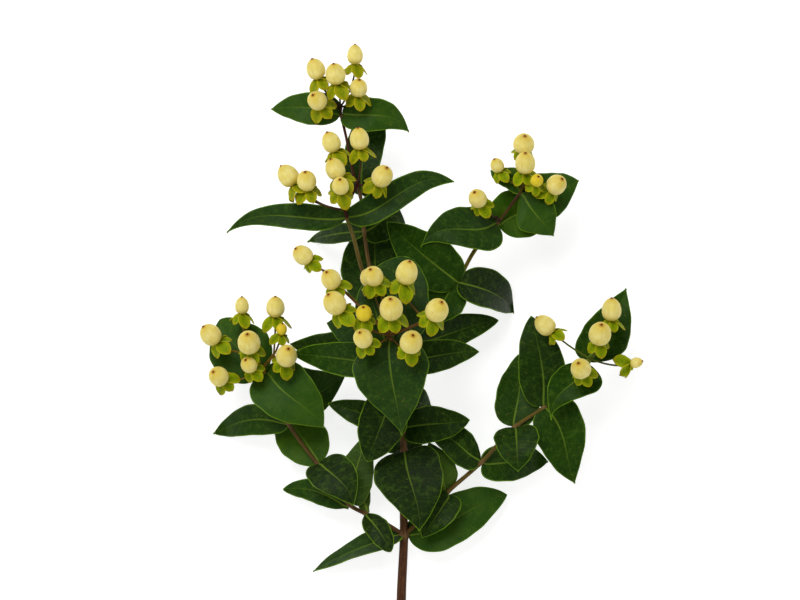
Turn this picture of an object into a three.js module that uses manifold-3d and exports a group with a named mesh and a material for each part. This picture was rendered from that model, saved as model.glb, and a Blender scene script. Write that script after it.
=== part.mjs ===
// A cut branch of hypericum with cream berries, lying on a flat surface.
// Millimetres, +Z up. The surface is z = 0, and +Y runs along the branch from its cut end to its top.
// The branch is one woody solid. Each leaf is a solid of its own, and each head of berries is one solid.

import * as THREE from 'three';
import { mergeVertices } from 'three/addons/utils/BufferGeometryUtils.js';
import Module from 'manifold-3d';

const wasm = await Module();
wasm.setup();

// The tables below measure x and y from a point beside the middle berry head. The part's own origin is
// under the middle of its box, which is this far from that point.
const MIDDLE = { x: 9.6, y: -40.1 };

const GAP = 0.3; // between a stem and the foot of a leaf
const HEAD_GAP = 0.5; // between the end of a shoot and the foot of its berry head
const BLADE = 0.6; // thickness of a leaf
const LEAF_FOOT = 2.2; // width of a leaf where it meets the stem
const LEAF_TIP = 0.9; // width at which a leaf's tip is cut
const LEAF_ROWS = [0, 0.07, 0.2, 0.38, 0.6, 0.82, 1]; // stations along a leaf, from foot to tip
const WIDE_COLUMNS = [-1, -0.55, 0, 0.55, 1]; // stations across a leaf that faces up
const PLAIN_COLUMNS = [-1, 0, 1]; // stations across a leaf that lies behind others
const FOOT_FLARE = 0.5; // how fast a blade widens from its foot: less is faster
const HOOK_PEAK = 6.75; // makes the hook's curve reach 1 where it is highest
const LOBE_FADE = 3; // how fast the lobes' curve falls away towards the tip
const LOBE_PEAK = 4.2; // makes that curve reach 1 where it is highest
const WAVE_ALONG = 11; // radians of the margins' wave from foot to tip
const WAVE_ACROSS = 2; // radians of that wave from the midrib to a margin
const NODE_SWELL = 1.25; // a stem is this much thicker at a node
const STEM_SIDES = 8; // on the main stem
const SHOOT_SIDES = 6; // on the side shoots and the stems of the heads
const STALK_SIDES = 4;
const STALK_STEPS = 2;
const STALK = 1.1; // diameter of a berry's stalk
const STALK_BEND = 0.45; // share of a stalk's length over which it turns to the berry's own direction
const FORK_STEM = 1.3; // diameter of the stems between a head's forks
const KNOT = 2.4; // diameter of the knot at a fork
const BERRY_SIDES = 10;
const SEPAL = 0.7; // thickness of a sepal
const SEPAL_COUNT = 5;
const SEPAL_SPREAD = 52; // degrees between a sepal and the berry's stalk
const SEPAL_VARIETY = 0.12; // share by which a sepal is longer or shorter than its head's usual length
const SEPAL_TURN = 2.4; // radians, about the golden angle: varies the sepals without a repeat

// A sepal's outline round the stalk, from its middle to its shoulder, the notch and the next shoulder:
// degrees, and share of its length.
const SEPAL_OUTLINE = [
  [0, 1],
  [22, 0.86],
  [36, 0.34],
  [50, 0.86],
];

// A berry's shape, from its foot up: radius as a share of its width, height as a share of its length.
const BERRY_RINGS = [
  [0.3, 0.06],
  [0.47, 0.3],
  [0.47, 0.58],
  [0.31, 0.86],
];

// Stems: rows of x, y, z, diameter and, at a node, its name.
const STEMS = {
  main: [
    [0.6, -195, 2.2, 4.4],
    [0.5, -165, 5.7, 4.4],
    [0.6, -135, 9.6, 4.3],
    [1.8, -106.6, 14, 3.8, 'main_1'],
    [1.4, -88, 18, 3.3],
    [1.8, -69, 22, 3.0, 'main_2'],
    [1.0, -58, 25, 2.8, 'main_3'],
    [-1.2, -42, 29, 2.7, 'main_4'],
    [-5.4, -21, 33, 2.5, 'main_5'],
    [-9.9, 0, 34, 2.2, 'main_6'],
    [-13.9, 15.7, 33, 1.8],
    [-16.2, 31, 32, 1.7, 'a_lower'],
    [-18, 47.5, 36, 1.5, 'a_upper'],
    [-20.7, 55.5, 38, 1.3],
    [-24.4, 74, 42, 1.2],
    [-26.6, 83.5, 44, 1.4, 'a_head'],
  ],
  b: [
    [-9.9, 0, 34, 1.8],
    [-14, 7, 41, 1.9],
    [-17.1, 13.9, 47, 1.9],
    [-21.1, 28.8, 53, 1.8],
    [-23.9, 37, 56, 1.7, 'b_head'],
  ],
  c: [
    [-1.2, -42, 29, 2.0],
    [1.5, -39.5, 38, 2.1],
    [0.5, -33, 50, 2.1],
    [-1.5, -27.5, 60, 2.0, 'c_lower'],
    [-4.2, -18.5, 70, 1.8, 'c_head'],
  ],
  d: [
    [1.8, -106.6, 14, 1.9],
    [-5.7, -101.8, 15.5, 1.9],
    [-15.3, -96.9, 17, 1.9, 'd_1'],
    [-22.5, -93, 19, 1.8, 'd_2'],
    [-37.1, -74.5, 22, 1.7, 'd_3'],
    [-50.5, -56, 24, 1.6, 'd_4'],
    [-60.7, -33.5, 30, 1.5, 'd_head'],
  ],
  e: [
    [-1.2, -42, 29, 1.9],
    [8, -26, 23.5, 1.9],
    [18, -7, 22.5, 1.8],
    [26.1, 8.1, 30, 1.7, 'e_lower'],
    [33.8, 22.5, 32, 1.9],
    [43.7, 34.2, 33, 1.4, 'e_upper'],
    [54.3, 48.5, 36, 1.3, 'e_head'],
  ],
  f: [
    [1.8, -106.6, 14, 2.0],
    [8, -101, 16, 2.0],
    [21.2, -87.3, 18, 2.0, 'f_1'],
    [36.9, -73.4, 21, 1.9, 'f_2'],
    [51.8, -57.6, 24, 1.8, 'f_3'],
    [65.3, -48.2, 24, 1.6, 'f_4'],
    [75.5, -38.5, 25.5, 1.5],
    [84.6, -28.3, 30, 1.4, 'f_head'],
  ],
};

// Leaves: the node each grows from, its tip, its width, and the bends that differ from LEAF_HABIT.
// lift: degrees from the stem's flank to its top, where the leaf is attached
// roll: degrees that the blade turns about its midrib; fold: degrees that each half rises as a V
// arch, sway: mm that the midrib bows up and sideways; hook: mm that it bows sideways nearer its tip
// lobe: mm that the blade's back corners reach back; slant: mm more on one side and less on the other
// wave: mm that the margins rise and fall
// taper: how fast the blade narrows towards its tip, more than 1 for a drawn-out tip
const LEAF_HABIT = {
  lift: 0, roll: 0, fold: 8, arch: 2, sway: 0, hook: 0, lobe: 2.5, slant: 0, wave: 0.5, taper: 0.9,
};
const LEAVES = {
  a_head_left: {
    at: 'a_head', tip: [-58, 86, 38], width: 15, arch: 3.5, lobe: 1.5, sway: -2.5, hook: 0.5,
    slant: -2, lift: -10,
  },
  a_head_right: {
    at: 'a_head', tip: [4, 75.8, 40], width: 16, arch: 5, lobe: 2.3, hook: 3.5, taper: 0.95, sway: 0.5,
    lift: -12,
  },
  a_upper_back: {
    at: 'a_upper', tip: [-10.5, 86, 26], width: 17.5, lift: -60, sway: 3, slant: -0.5, taper: 0.5,
    hook: -0.5,
  },
  b_head_left: {
    at: 'b_head', tip: [-77.9, 30.3, 46], width: 11.5, arch: 5, hook: -5.5, lobe: 2, slant: -3.2,
    taper: 0.95, lift: -10,
  },
  b_head_right: {
    at: 'b_head', tip: [24.3, 53.1, 54], width: 13.5, arch: 3, hook: 8, lobe: 3.6, sway: -4,
    slant: 1.2, taper: 0.75,
  },
  a_lower_left: {
    at: 'a_lower', tip: [-42, 26.5, -8], width: 9, lift: -20, arch: 4, sway: -1.5, hook: 0.5,
    lobe: 3.5, taper: 1.3, slant: -0.5,
  },
  a_lower_right: {
    at: 'a_lower', tip: [2.3, 34.7, 20], width: 19, lift: -20, sway: 1.5, hook: 3, taper: 0.6,
  },
  main_6_back: {
    at: 'main_6', tip: [-10.5, 38.5, 14], width: 31, lift: -60, sway: 2.2, lobe: 2.5, taper: 0.85,
    hook: -0.5, slant: 3,
  },
  e_lower_left: {
    at: 'e_lower', tip: [-5.9, 35.1, 42], width: 23, sway: 0.5, lift: 100, roll: -6, lobe: 1.2,
    slant: 0.2, taper: 0.85,
  },
  e_lower_right: {
    at: 'e_lower', tip: [51.8, -5.9, -9], width: 19.5, lift: 62, arch: 6, sway: 1.5, hook: -0.5,
    lobe: 3.4, slant: -1.2, taper: 1.2, fold: 22, roll: -22,
  },
  e_lower_down: {
    at: 'e_lower', tip: [13.5, -13.5, 28], width: 19.5, roll: 0, arch: 0, lift: 28, sway: 1.5,
    lobe: 0.3, hook: -2, slant: -1, taper: 1.05,
  },
  e_upper_left: {
    at: 'e_upper', tip: [9.4, 23.9, 41], width: 22, arch: 4, sway: 4, hook: -7.5, slant: 2, lift: 50,
    taper: 1.15, lobe: 2,
  },
  e_upper_right: {
    at: 'e_upper', tip: [65.4, 50.4, 20], width: 24.5, lift: -45, lobe: 2, hook: -4.5, slant: 1,
    taper: 0.75, sway: 1.5,
  },
  e_head_front: {
    at: 'e_head', tip: [69.3, 29, 31], width: 19.5, arch: 3, lift: 10, lobe: -2.5, sway: -1.5, hook: 1,
    slant: 0.5, taper: 1,
  },
  e_head_right: {
    at: 'e_head', tip: [80.8, 54, 24], width: 21.5, lift: -60, sway: -5.5, hook: 2.5, lobe: 1,
    slant: 1.5, taper: 0.95,
  },
  e_head_left: {
    at: 'e_head', tip: [41, 58.5, 31], width: 10, lift: -15, sway: -4.5, hook: 3, lobe: -0.5, slant: 1,
  },
  c_head_down: {
    at: 'c_head', tip: [0.7, -60.5, 66], width: 34.5, arch: 4, lift: 70, taper: 1.35, sway: -2,
    lobe: 0.5, slant: 0.5, hook: 1.5,
  },
  c_head_up: { at: 'c_head', tip: [3, 19.5, 57], width: 31, arch: 0, lift: -60, taper: 0.6, hook: 2 },
  c_head_upper_left: { at: 'c_head', tip: [-15.3, 8.1, 67], width: 18, lift: -25, lobe: 0.5, taper: 0.6 },
  c_head_left: {
    at: 'c_lower', tip: [-32.9, -10.4, 36], width: 24, lift: -75, sway: -3, taper: 0.85, hook: -1.5,
    lobe: 1.5,
  },
  c_lower_left: { at: 'c_lower', tip: [-49, -24.2, 37], width: 16, arch: 3.5, sway: 1, hook: -1 },
  c_lower_right: {
    at: 'c_lower', tip: [35.4, -23.2, 60], width: 15.5, arch: 3, sway: -1, hook: 1.5, lobe: 4,
    slant: -1, taper: 0.8,
  },
  main_5_left: { at: 'main_5', tip: [-49.5, -19.8, 31], width: 19, arch: 5, sway: 2 },
  main_5_right: {
    at: 'main_5', tip: [44.6, -9.2, 15], width: 16, arch: -0.5, sway: -3.5, hook: 3, taper: 0.7,
  },
  main_4_right: {
    at: 'main_4', tip: [14, -48, 10], width: 14, lift: -85, lobe: 0.5, hook: -0.5, taper: 0.95,
  },
  d_head_back: {
    at: 'd_head', tip: [-81.5, -8.8, 22], width: 28, lift: -25, sway: -1, hook: 2.5, lobe: 0,
    slant: 0.5, taper: 0.7,
  },
  d_head_front: {
    at: 'd_head', tip: [-34.4, -57.5, 34], width: 27, arch: 4, lift: 40, lobe: 4.2, sway: -3, hook: 3,
    slant: -1, taper: 0.95,
  },
  d_head_right: {
    at: 'd_head', tip: [-23.9, -32, 10], width: 25.5, lift: -85, roll: 12, sway: -10, taper: 0.85,
    lobe: -1, slant: 1,
  },
  d_4_left: {
    at: 'd_4', tip: [-84.9, -60.8, -8], width: 14.5, arch: 4, lift: -35, sway: -6.5, lobe: 2.5,
    hook: 3, slant: -1.5, taper: 1,
  },
  d_3_back: { at: 'd_3', tip: [-53, -50, 6], width: 23, lift: -60, lobe: 0, taper: 0.6 },
  d_3_front: {
    at: 'd_3', tip: [-21, -92.7, 30], width: 20.5, lift: 60, lobe: 2.4, sway: 0.5, hook: 2,
    slant: -1.5, taper: 0.95,
  },
  d_2_left: {
    at: 'd_2', tip: [-53.1, -86, 6], width: 10.5, lift: -35, sway: -3.5, lobe: -1.5, slant: -2.5,
    taper: 0.65,
  },
  d_2_up: {
    at: 'd_2', tip: [-17.6, -63, 16], width: 17.5, lift: -35, lobe: 1, sway: 3.5, hook: -3.5,
    slant: -1.5, taper: 0.85,
  },
  d_1_up: {
    at: 'd_1', tip: [-15.3, -76.5, 10], width: 6.5, lift: -40, sway: 3, lobe: -0.5, hook: -2,
    slant: 2.5, taper: 0.8,
  },
  d_1_down: {
    at: 'd_1', tip: [-4.1, -113.9, 26], width: 11, lift: 70, sway: 1, lobe: 0, hook: 0, taper: 0.6,
    wave: 0.8,
  },
  main_1_left: {
    at: 'main_1', tip: [-39.5, -123.5, 4], width: 14.8, roll: 52, sway: 1.2, hook: -1, lobe: 4,
    slant: 1, taper: 1,
  },
  main_1_right: {
    at: 'main_1', tip: [48.6, -88.5, 6], width: 22.5, lift: -20, sway: -3.5, hook: 3.5, lobe: 2.7,
    taper: 0.75, slant: 0.5,
  },
  main_2_front: {
    at: 'main_2', tip: [8.7, -104.4, 30], width: 31.5, lift: 80, lobe: 3, sway: -1.5, hook: 2.5,
    taper: 1.1, slant: 1,
  },
  main_2_back: { at: 'main_2', tip: [0, -57, 3], width: 23, lift: -80, lobe: 1 },
  main_3_right: {
    at: 'main_3', tip: [31.5, -54.2, 30], width: 17, slant: -1.5, sway: 1, hook: -1, lobe: 2.5,
    taper: 0.8,
  },
  main_3_left: { at: 'main_3', tip: [-32.6, -46.8, 26], width: 13, sway: -1, taper: 0.8, lobe: 1 },
  main_4_left: { at: 'main_4', tip: [-14.9, -72.9, 34], width: 22, lift: 50, lobe: 0, taper: 0.75 },
  f_1_down: { at: 'f_1', tip: [9.9, -107.6, 22], width: 15.5, lift: 40 },
  f_1_up: {
    at: 'f_1', tip: [13, -64.4, 18], width: 15, lift: -40, lobe: 0.5, sway: -1.5, hook: 0.5, taper: 0.95,
  },
  f_2_left: {
    at: 'f_2', tip: [14.9, -61.7, 24], width: 16, lift: 10, sway: 1, hook: -3.5, slant: 1.5,
    taper: 0.65, lobe: 0.9,
  },
  f_2_right: {
    at: 'f_2', tip: [67.3, -73.6, -7], width: 17.5, arch: 3, lift: -48, lobe: 4, hook: 1, taper: 0.95,
  },
  f_3_front: {
    at: 'f_3', tip: [53.3, -77.4, 31], width: 20.5, lift: 60, slant: 0.5, taper: 1, lobe: 2.4,
  },
  f_3_back: {
    at: 'f_3', tip: [53.6, -24.8, 12], width: 21, lift: -55, sway: -1, hook: -1, slant: -1,
    taper: 0.85, lobe: 1.7,
  },
  f_4_up: {
    at: 'f_4', tip: [59.2, -7.2, 30], width: 22, lift: 45, sway: -3, roll: -8, lobe: 2, hook: 1,
    taper: 0.8,
  },
  f_4_down: {
    at: 'f_4', tip: [79.2, -83.1, 17], width: 23.5, lift: -10, sway: 4.5, lobe: 4, hook: -3, slant: 2,
    taper: 1.05,
  },
  f_head_down: {
    at: 'f_head', tip: [68.2, -54.1, 35], width: 20.5, lift: 50, sway: 1.5, taper: 1.4, lobe: -1,
    hook: -5, slant: 1,
  },
  f_head_up: {
    at: 'f_head', tip: [102.3, 5.2, 24], width: 21.5, lift: -40, sway: -4, taper: 1.05, hook: 1.5,
    lobe: 0, slant: 1,
  },
};
const PLAIN_LEAVES = [
  'a_head_left', 'a_lower_left', 'a_lower_right', 'a_upper_back', 'main_6_back', 'main_5_left',
  'main_4_right', 'main_3_left', 'main_2_back', 'c_head_upper_left', 'd_1_down', 'd_1_up', 'd_2_left',
  'd_2_up', 'd_4_left', 'e_head_front', 'e_head_left', 'e_lower_down', 'f_1_up', 'f_2_left',
];

// Berry heads: the node each grows from, the forks of its stalks above that node, and its berries. A head
// grows from the end of its shoot, or beside the shoot with its foot just off the bark.
// A berry's row: centre x, y, z, width, length, where its tip points in x and y, sepal length, and the
// fork that its stalk starts from, counting from 1.
const HEADS = {
  a: {
    at: 'a_head',
    forks: [[-26.8, 86.8, 46]],
    berries: [
      [-20.2, 110.5, 52, 7.2, 9.4, 0, 4.6, 7.2, 1],
      [-38, 104, 56, 8.6, 10.2, -1.6, 4.5, 8, 1],
      [-29, 101.7, 60, 9.2, 10.4, -0.9, 4.5, 8.4, 1],
      [-18.6, 95.6, 56, 8.2, 9, 0.4, 3.4, 7.8, 1],
      [-37.4, 89.8, 58, 8.8, 9.8, -1.8, 2.2, 8.2, 1],
    ],
  },
  b: {
    at: 'b_head',
    forks: [[-24.6, 40.4, 58.5], [-19, 52, 64]],
    berries: [
      [-31, 71.1, 66, 8.4, 10.2, -1.8, 4.3, 8, 1],
      [-18.3, 72.5, 70, 8.8, 10.6, -0.6, 4.8, 7.6, 2],
      [-29.2, 59, 74, 8.8, 10.8, -2, 4.2, 9, 1],
      [-50.4, 56, 68, 9.3, 10.8, -3.2, 4.3, 8.4, 1],
      [-41.8, 53.7, 74, 8.8, 10.2, -0.6, 3.7, 7.8, 1],
      [-26.6, 51.3, 80, 7.8, 9.2, -0.2, 2.6, 8, 1],
      [-7.7, 55.8, 72, 9.6, 11.2, 2, 3.5, 7.8, 2],
    ],
  },
  c: {
    at: 'c_head',
    forks: [[-4.6, -16, 73], [-34, 13, 80], [12, -9, 78]],
    berries: [
      [-43.7, 20.4, 86, 8.6, 10.2, -3, 2.7, 6.6, 2],
      [-31, 9.6, 90, 9, 10.2, -1.8, 3, 7.8, 2],
      [-29.4, -0.9, 94, 10.2, 12, -2.7, 3.6, 8.6, 1],
      [-14.2, 10.3, 82, 7.6, 9, -1, 3, 6.6, 1],
      [-12, 11, 92, 8.8, 10.4, -1.3, 2.8, 7.8, 1],
      [3.2, 12.8, 90, 10, 12.4, 1.2, 4.7, 9, 3],
      [-4, -3.2, 96, 10.7, 12.2, -0.3, 3.9, 9, 1],
      [-16.1, -5.5, 92, 7.2, 8.2, -0.2, 2.5, 7.2, 1],
      [16.7, -4.1, 92, 10.4, 12, 2, 3.4, 8.4, 3],
      [-16.7, -16.7, 92, 8.8, 9.6, -1.3, 2.4, 7.2, 1],
      [5.1, -18.3, 92, 10.4, 11.6, 0.7, 2.8, 7.8, 1],
    ],
  },
  d: {
    at: 'd_head',
    forks: [[-62, -30.5, 32], [-68, -24, 36], [-57, -25, 36]],
    berries: [
      [-71.2, -2.2, 40, 6.4, 8.2, 0, 3.9, 7.2, 2],
      [-56.1, -2.8, 44, 8.6, 10, 0, 4.7, 8.4, 3],
      [-85.6, -15.2, 44, 9.4, 11, -3.2, 3.5, 7.8, 2],
      [-68, -18.6, 52, 10.4, 12.4, -0.6, 3.5, 7.6, 2],
      [-53.2, -12.9, 46, 5, 6, 0.4, 2.5, 6, 3],
      [-50.9, -24.7, 48.5, 9.9, 11.4, 0.8, 3, 7.8, 3],
      [-82, -34.1, 44, 9, 10.4, -2.2, 1.9, 7.6, 1],
      [-68.1, -28.8, 46, 7.6, 8.4, -1.5, 2, 7, 1],
    ],
  },
  e: {
    at: 'e_head',
    forks: [[55.2, 51, 38], [60, 52.5, 41]],
    berries: [
      [55.8, 70.7, 44, 9.8, 9.8, 0.4, 3.3, 6.6, 1],
      [56.3, 62.1, 50, 9.4, 10.8, 0, 4.2, 7.6, 1],
      [43.6, 60.9, 44, 6.2, 7.2, -1.3, 2.7, 6, 1],
      [61.6, 54, 50, 5.8, 6.6, 0.7, 1.6, 6, 2],
      [70.7, 52.2, 46, 9, 10.4, 2.4, 2.4, 7.6, 2],
    ],
  },
  e_side: {
    at: 'e_upper',
    foot: [44.9, 35.8, 34.7],
    forks: [[43.2, 37, 38]],
    berries: [
      [34.7, 46, 51.5, 8.4, 9.6, -1.4, 2.6, 7, 1],
    ],
  },
  f: {
    at: 'f_head',
    forks: [[86, -26.6, 33.5]],
    berries: [
      [64.9, -11, 44, 8.8, 10.6, -3.8, 3.5, 6.6, 1],
      [95.2, -3.9, 44, 9.1, 11, 0, 5.1, 7.2, 1],
      [90, -14.7, 50, 10.4, 12, 0.5, 3.9, 7.2, 1],
      [81.1, -30.5, 50, 9.4, 10.4, -1.1, 2.3, 7.2, 1],
      [106.8, -28.2, 38, 4.8, 6.2, 2.7, 0.7, 8, 1],
    ],
  },
};

const WOOD = { color: 0x6b4a2e, roughness: 0.7, metalness: 0 };
const LEAF = { color: 0x2c4f22, roughness: 0.55, metalness: 0 };
const BERRY = { color: 0xe6dc9a, roughness: 0.35, metalness: 0 };

const radians = THREE.MathUtils.degToRad;

function vector([x, y, z]) {
  return new THREE.Vector3(x, y, z);
}

// The part's origin is under the middle of its box, so every solid is moved there as it is named.
function namedMesh(name, geometry, look) {
  const mesh = new THREE.Mesh(geometry, new THREE.MeshStandardMaterial(look));
  mesh.name = name;
  mesh.position.set(-MIDDLE.x, -MIDDLE.y, 0);
  return mesh;
}

// ---- Joining closed shapes ----

function toSolid(geometry) {
  const bare = new THREE.BufferGeometry();
  bare.setAttribute('position', geometry.getAttribute('position').clone());
  if (geometry.index) bare.setIndex(geometry.index.clone());
  const merged = mergeVertices(bare, 1e-5);
  return new wasm.Manifold(new wasm.Mesh({
    numProp: 3,
    vertProperties: new Float32Array(merged.getAttribute('position').array),
    triVerts: new Uint32Array(merged.index.array),
  }));
}

// Shapes fused into one solid. A pocket sealed between them, which decompose returns as a shell with
// negative volume, is filled.
function fuse(geometries) {
  const whole = geometries.map(toSolid).reduce((sum, next) => sum.add(next));
  const shells = whole.decompose().filter((shell) => shell.volume() > 0);
  const mesh = shells.reduce((sum, next) => sum.add(next)).getMesh();
  const fused = new THREE.BufferGeometry();
  fused.setAttribute('position', new THREE.BufferAttribute(new Float32Array(mesh.vertProperties), 3));
  fused.setIndex(new THREE.BufferAttribute(new Uint32Array(mesh.triVerts), 1));
  return fused;
}

// ---- Stems ----

function stemCurve(rows) {
  return new THREE.CatmullRomCurve3(rows.map(vector), false, 'centripetal');
}

// A stem's rings stand at its rows and halfway between them, so its nodes keep their own swollen ring.
function stemGeometry(rows) {
  const curve = stemCurve(rows);
  const steps = (rows.length - 1) * 2;
  const sides = rows[0][3] > 3 ? STEM_SIDES : SHOOT_SIDES;
  const tube = new THREE.CylinderGeometry(1, 1, 1, sides, steps);
  const position = tube.getAttribute('position');
  const frames = parallelFrames(curve, steps, new THREE.Vector3(0, 0, 1));
  for (let i = 0; i < position.count; i += 1) {
    const ring = Math.round((0.5 - position.getY(i)) * steps);
    const row = rows[Math.floor(ring / 2)];
    const next = rows[Math.min(Math.floor(ring / 2) + 1, rows.length - 1)];
    const swell = ring % 2 === 0 && row.length > 4 ? NODE_SWELL : 1;
    const radius = ring % 2 === 0 ? (row[3] / 2) * swell : (row[3] + next[3]) / 4;
    const point = curve.getPoint(ring / steps)
      .addScaledVector(frames[ring].side, position.getX(i) * radius)
      .addScaledVector(frames[ring].up, -position.getZ(i) * radius);
    position.setXYZ(i, point.x, point.y, point.z);
  }
  return tube;
}

// Directions square to a curve at each of its rings, turned as little as possible from ring to ring.
function parallelFrames(curve, steps, firstUp) {
  const frames = [];
  let up = firstUp;
  for (let ring = 0; ring <= steps; ring += 1) {
    const along = curve.getTangent(ring / steps);
    const side = new THREE.Vector3().crossVectors(along, up).normalize();
    up = new THREE.Vector3().crossVectors(side, along).normalize();
    frames.push({ side, up });
  }
  return frames;
}

// Where leaves and heads grow: each node's point, its stem's direction there and its radius.
function findNodes() {
  const nodes = {};
  for (const rows of Object.values(STEMS)) {
    const curve = stemCurve(rows);
    rows.forEach((row, index) => {
      if (row.length > 4) {
        nodes[row[4]] = {
          point: vector(row),
          along: curve.getTangent(index / (rows.length - 1)),
          radius: (row[3] / 2) * NODE_SWELL,
        };
      }
    });
  }
  return nodes;
}

// ---- Leaves ----

// Half of a leaf's width at a share of its length: an egg shape, broad near its foot.
function halfWidth(share, { width, taper }) {
  const egg = (s) => s ** FOOT_FLARE * (1 - s) ** taper;
  const widest = FOOT_FLARE / (FOOT_FLARE + taper);
  const blade = (width / 2) * (egg(share) / egg(widest));
  const foot = (LEAF_FOOT / 2) * (1 - share);
  const tip = (LEAF_TIP / 2) * share;
  return Math.max(blade, foot + tip);
}

// A leaf's own directions: along its midrib, across its blade, and out of its upper face.
function leafFrame(leaf, node) {
  const tip = vector(leaf.tip);
  const heading = tip.clone().sub(node.point).setZ(0).normalize();
  const flank = new THREE.Vector3().crossVectors(node.along, new THREE.Vector3(0, 0, 1)).normalize();
  if (flank.dot(heading) < 0) flank.negate();
  const lift = radians(leaf.lift);
  const out = flank.multiplyScalar(Math.cos(lift)).add(new THREE.Vector3(0, 0, Math.sin(lift)));
  const rough = tip.clone().sub(node.point).normalize();
  const level = new THREE.Vector3(0, 0, 1).cross(rough).normalize();
  const side = level.applyAxisAngle(rough, radians(leaf.roll));
  const face = new THREE.Vector3().crossVectors(rough, side);
  const reach = Math.abs(side.dot(out)) * (LEAF_FOOT / 2) + Math.abs(face.dot(out)) * (BLADE / 2);
  const foot = node.point.clone().addScaledVector(out, node.radius + GAP + reach);
  return { foot, tip, side, face, along: tip.clone().sub(foot) };
}

// The middle of the blade's thickness at a share of the way along, and from -1 to 1 across.
function bladePoint(leaf, frame, share, across) {
  const half = halfWidth(share, leaf);
  const bow = 4 * share * (1 - share);
  const lobe = (leaf.lobe + leaf.slant * across) * Math.abs(across);
  const reachBack = lobe * LOBE_PEAK * share ** FOOT_FLARE * (1 - share) ** LOBE_FADE;
  const fold = radians(leaf.fold) * bow;
  const ripple = Math.sin(share * WAVE_ALONG + across * WAVE_ACROSS) * leaf.wave * across * across;
  const rise = Math.abs(across) * half * Math.sin(fold) + ripple * bow;
  const sideways = leaf.sway * bow + leaf.hook * HOOK_PEAK * share * share * (1 - share);
  return frame.foot.clone()
    .addScaledVector(frame.along, share)
    .addScaledVector(frame.along.clone().normalize(), -reachBack)
    .addScaledVector(frame.side, across * half * Math.cos(fold) + sideways)
    .addScaledVector(frame.face, leaf.arch * bow + rise);
}

// A blade of even thickness. Both faces have the same corners and are split into triangles alike. Where
// it would pass through the surface it lies flat on it.
function leafGeometry(leaf, frame, columns) {
  const vertices = [];
  for (const level of [1, -1]) {
    const floor = level === 1 ? BLADE : 0;
    for (const share of LEAF_ROWS) {
      for (const across of columns) {
        const point = bladePoint(leaf, frame, share, across);
        point.addScaledVector(frame.face, (level * BLADE) / 2);
        vertices.push(point.x, point.y, Math.max(point.z, floor));
      }
    }
  }
  const geometry = new THREE.BufferGeometry();
  geometry.setAttribute('position', new THREE.BufferAttribute(new Float32Array(vertices), 3));
  geometry.setIndex(bladeTriangles(LEAF_ROWS.length, columns.length));
  return geometry;
}

// Quads are split from the midrib out towards the tip, but at the foot the other way, so that a back corner
// that reaches behind the foot doesn't fold the blade.
function bladeTriangles(rows, columns) {
  const under = rows * columns;
  const at = (row, column) => row * columns + column;
  const triangles = [];
  const addQuad = (a, b, c, d) => triangles.push(a, b, c, a, c, d);
  for (let row = 0; row < rows - 1; row += 1) {
    for (let column = 0; column < columns - 1; column += 1) {
      const near = at(row, column);
      const far = at(row + 1, column);
      const corners = [near, near + 1, far + 1, far];
      const turn = (column < (columns - 1) / 2) !== (row === 0);
      const turned = turn ? [...corners.slice(1), corners[0]] : corners;
      const [a, b, c, d] = turned;
      triangles.push(a, c, b, a, d, c);
      triangles.push(a + under, b + under, c + under, a + under, c + under, d + under);
    }
    const left = [at(row, 0), at(row + 1, 0)];
    addQuad(left[0], left[0] + under, left[1] + under, left[1]);
    const right = [at(row, columns - 1), at(row + 1, columns - 1)];
    addQuad(right[0], right[1], right[1] + under, right[0] + under);
  }
  for (let column = 0; column < columns - 1; column += 1) {
    const foot = at(0, column);
    addQuad(foot, foot + 1, foot + 1 + under, foot + under);
    const tip = at(rows - 1, column);
    addQuad(tip, tip + under, tip + 1 + under, tip + 1);
  }
  return triangles;
}

// ---- Berry heads ----

// A ring of points round the y axis, at a given radius and height.
function levelRing(radius, height, sides) {
  return Array.from({ length: sides }, (_, side) => {
    const angle = (side * 2 * Math.PI) / sides;
    return new THREE.Vector3(radius * Math.cos(angle), height, radius * Math.sin(angle));
  });
}

// The rim of the five sepals, bent back towards the stalk.
function calyxRing(length, height, variety) {
  const spread = radians(SEPAL_SPREAD);
  const ring = [];
  for (let sepal = 0; sepal < SEPAL_COUNT; sepal += 1) {
    const reach = length * (1 + SEPAL_VARIETY * Math.sin(variety + sepal * SEPAL_TURN));
    for (const [turn, share] of SEPAL_OUTLINE) {
      const angle = radians(turn + (sepal * 360) / SEPAL_COUNT);
      const radius = reach * share * Math.sin(spread);
      const drop = reach * share * Math.cos(spread);
      ring.push(new THREE.Vector3(radius * Math.cos(angle), height - drop, radius * Math.sin(angle)));
    }
  }
  return ring;
}

// The band of triangles between two rings, each given by its first point's number and its count.
function bandTriangles([lowFirst, lowCount], [highFirst, highCount]) {
  const triangles = [];
  let [i, j] = [0, 0];
  while (i < lowCount || j < highCount) {
    const low = lowFirst + (i % lowCount);
    const high = highFirst + (j % highCount);
    if (j === highCount || (i < lowCount && (i + 1) / lowCount <= (j + 1) / highCount)) {
      i += 1;
      triangles.push(low, high, lowFirst + (i % lowCount));
    } else {
      j += 1;
      triangles.push(low, high, highFirst + (j % highCount));
    }
  }
  return triangles;
}

// A closed skin over rings of points, from the first ring, which is capped flat, to a last single point.
// Neighbouring rings may have different numbers of points.
function skinOverRings(rings, last) {
  const points = rings.flat();
  const spans = [];
  let first = 0;
  for (const ring of rings) {
    spans.push([first, ring.length]);
    first += ring.length;
  }
  points.push(last);
  const triangles = [];
  for (let side = 1; side < rings[0].length - 1; side += 1) triangles.push(0, side, side + 1);
  for (let level = 0; level < rings.length - 1; level += 1) {
    triangles.push(...bandTriangles(spans[level], spans[level + 1]));
  }
  const [topFirst, topCount] = spans[rings.length - 1];
  for (let side = 0; side < topCount; side += 1) {
    triangles.push(topFirst + side, first, topFirst + ((side + 1) % topCount));
  }
  const geometry = new THREE.BufferGeometry();
  geometry.setFromPoints(points);
  geometry.setIndex(triangles);
  return geometry;
}

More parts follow.
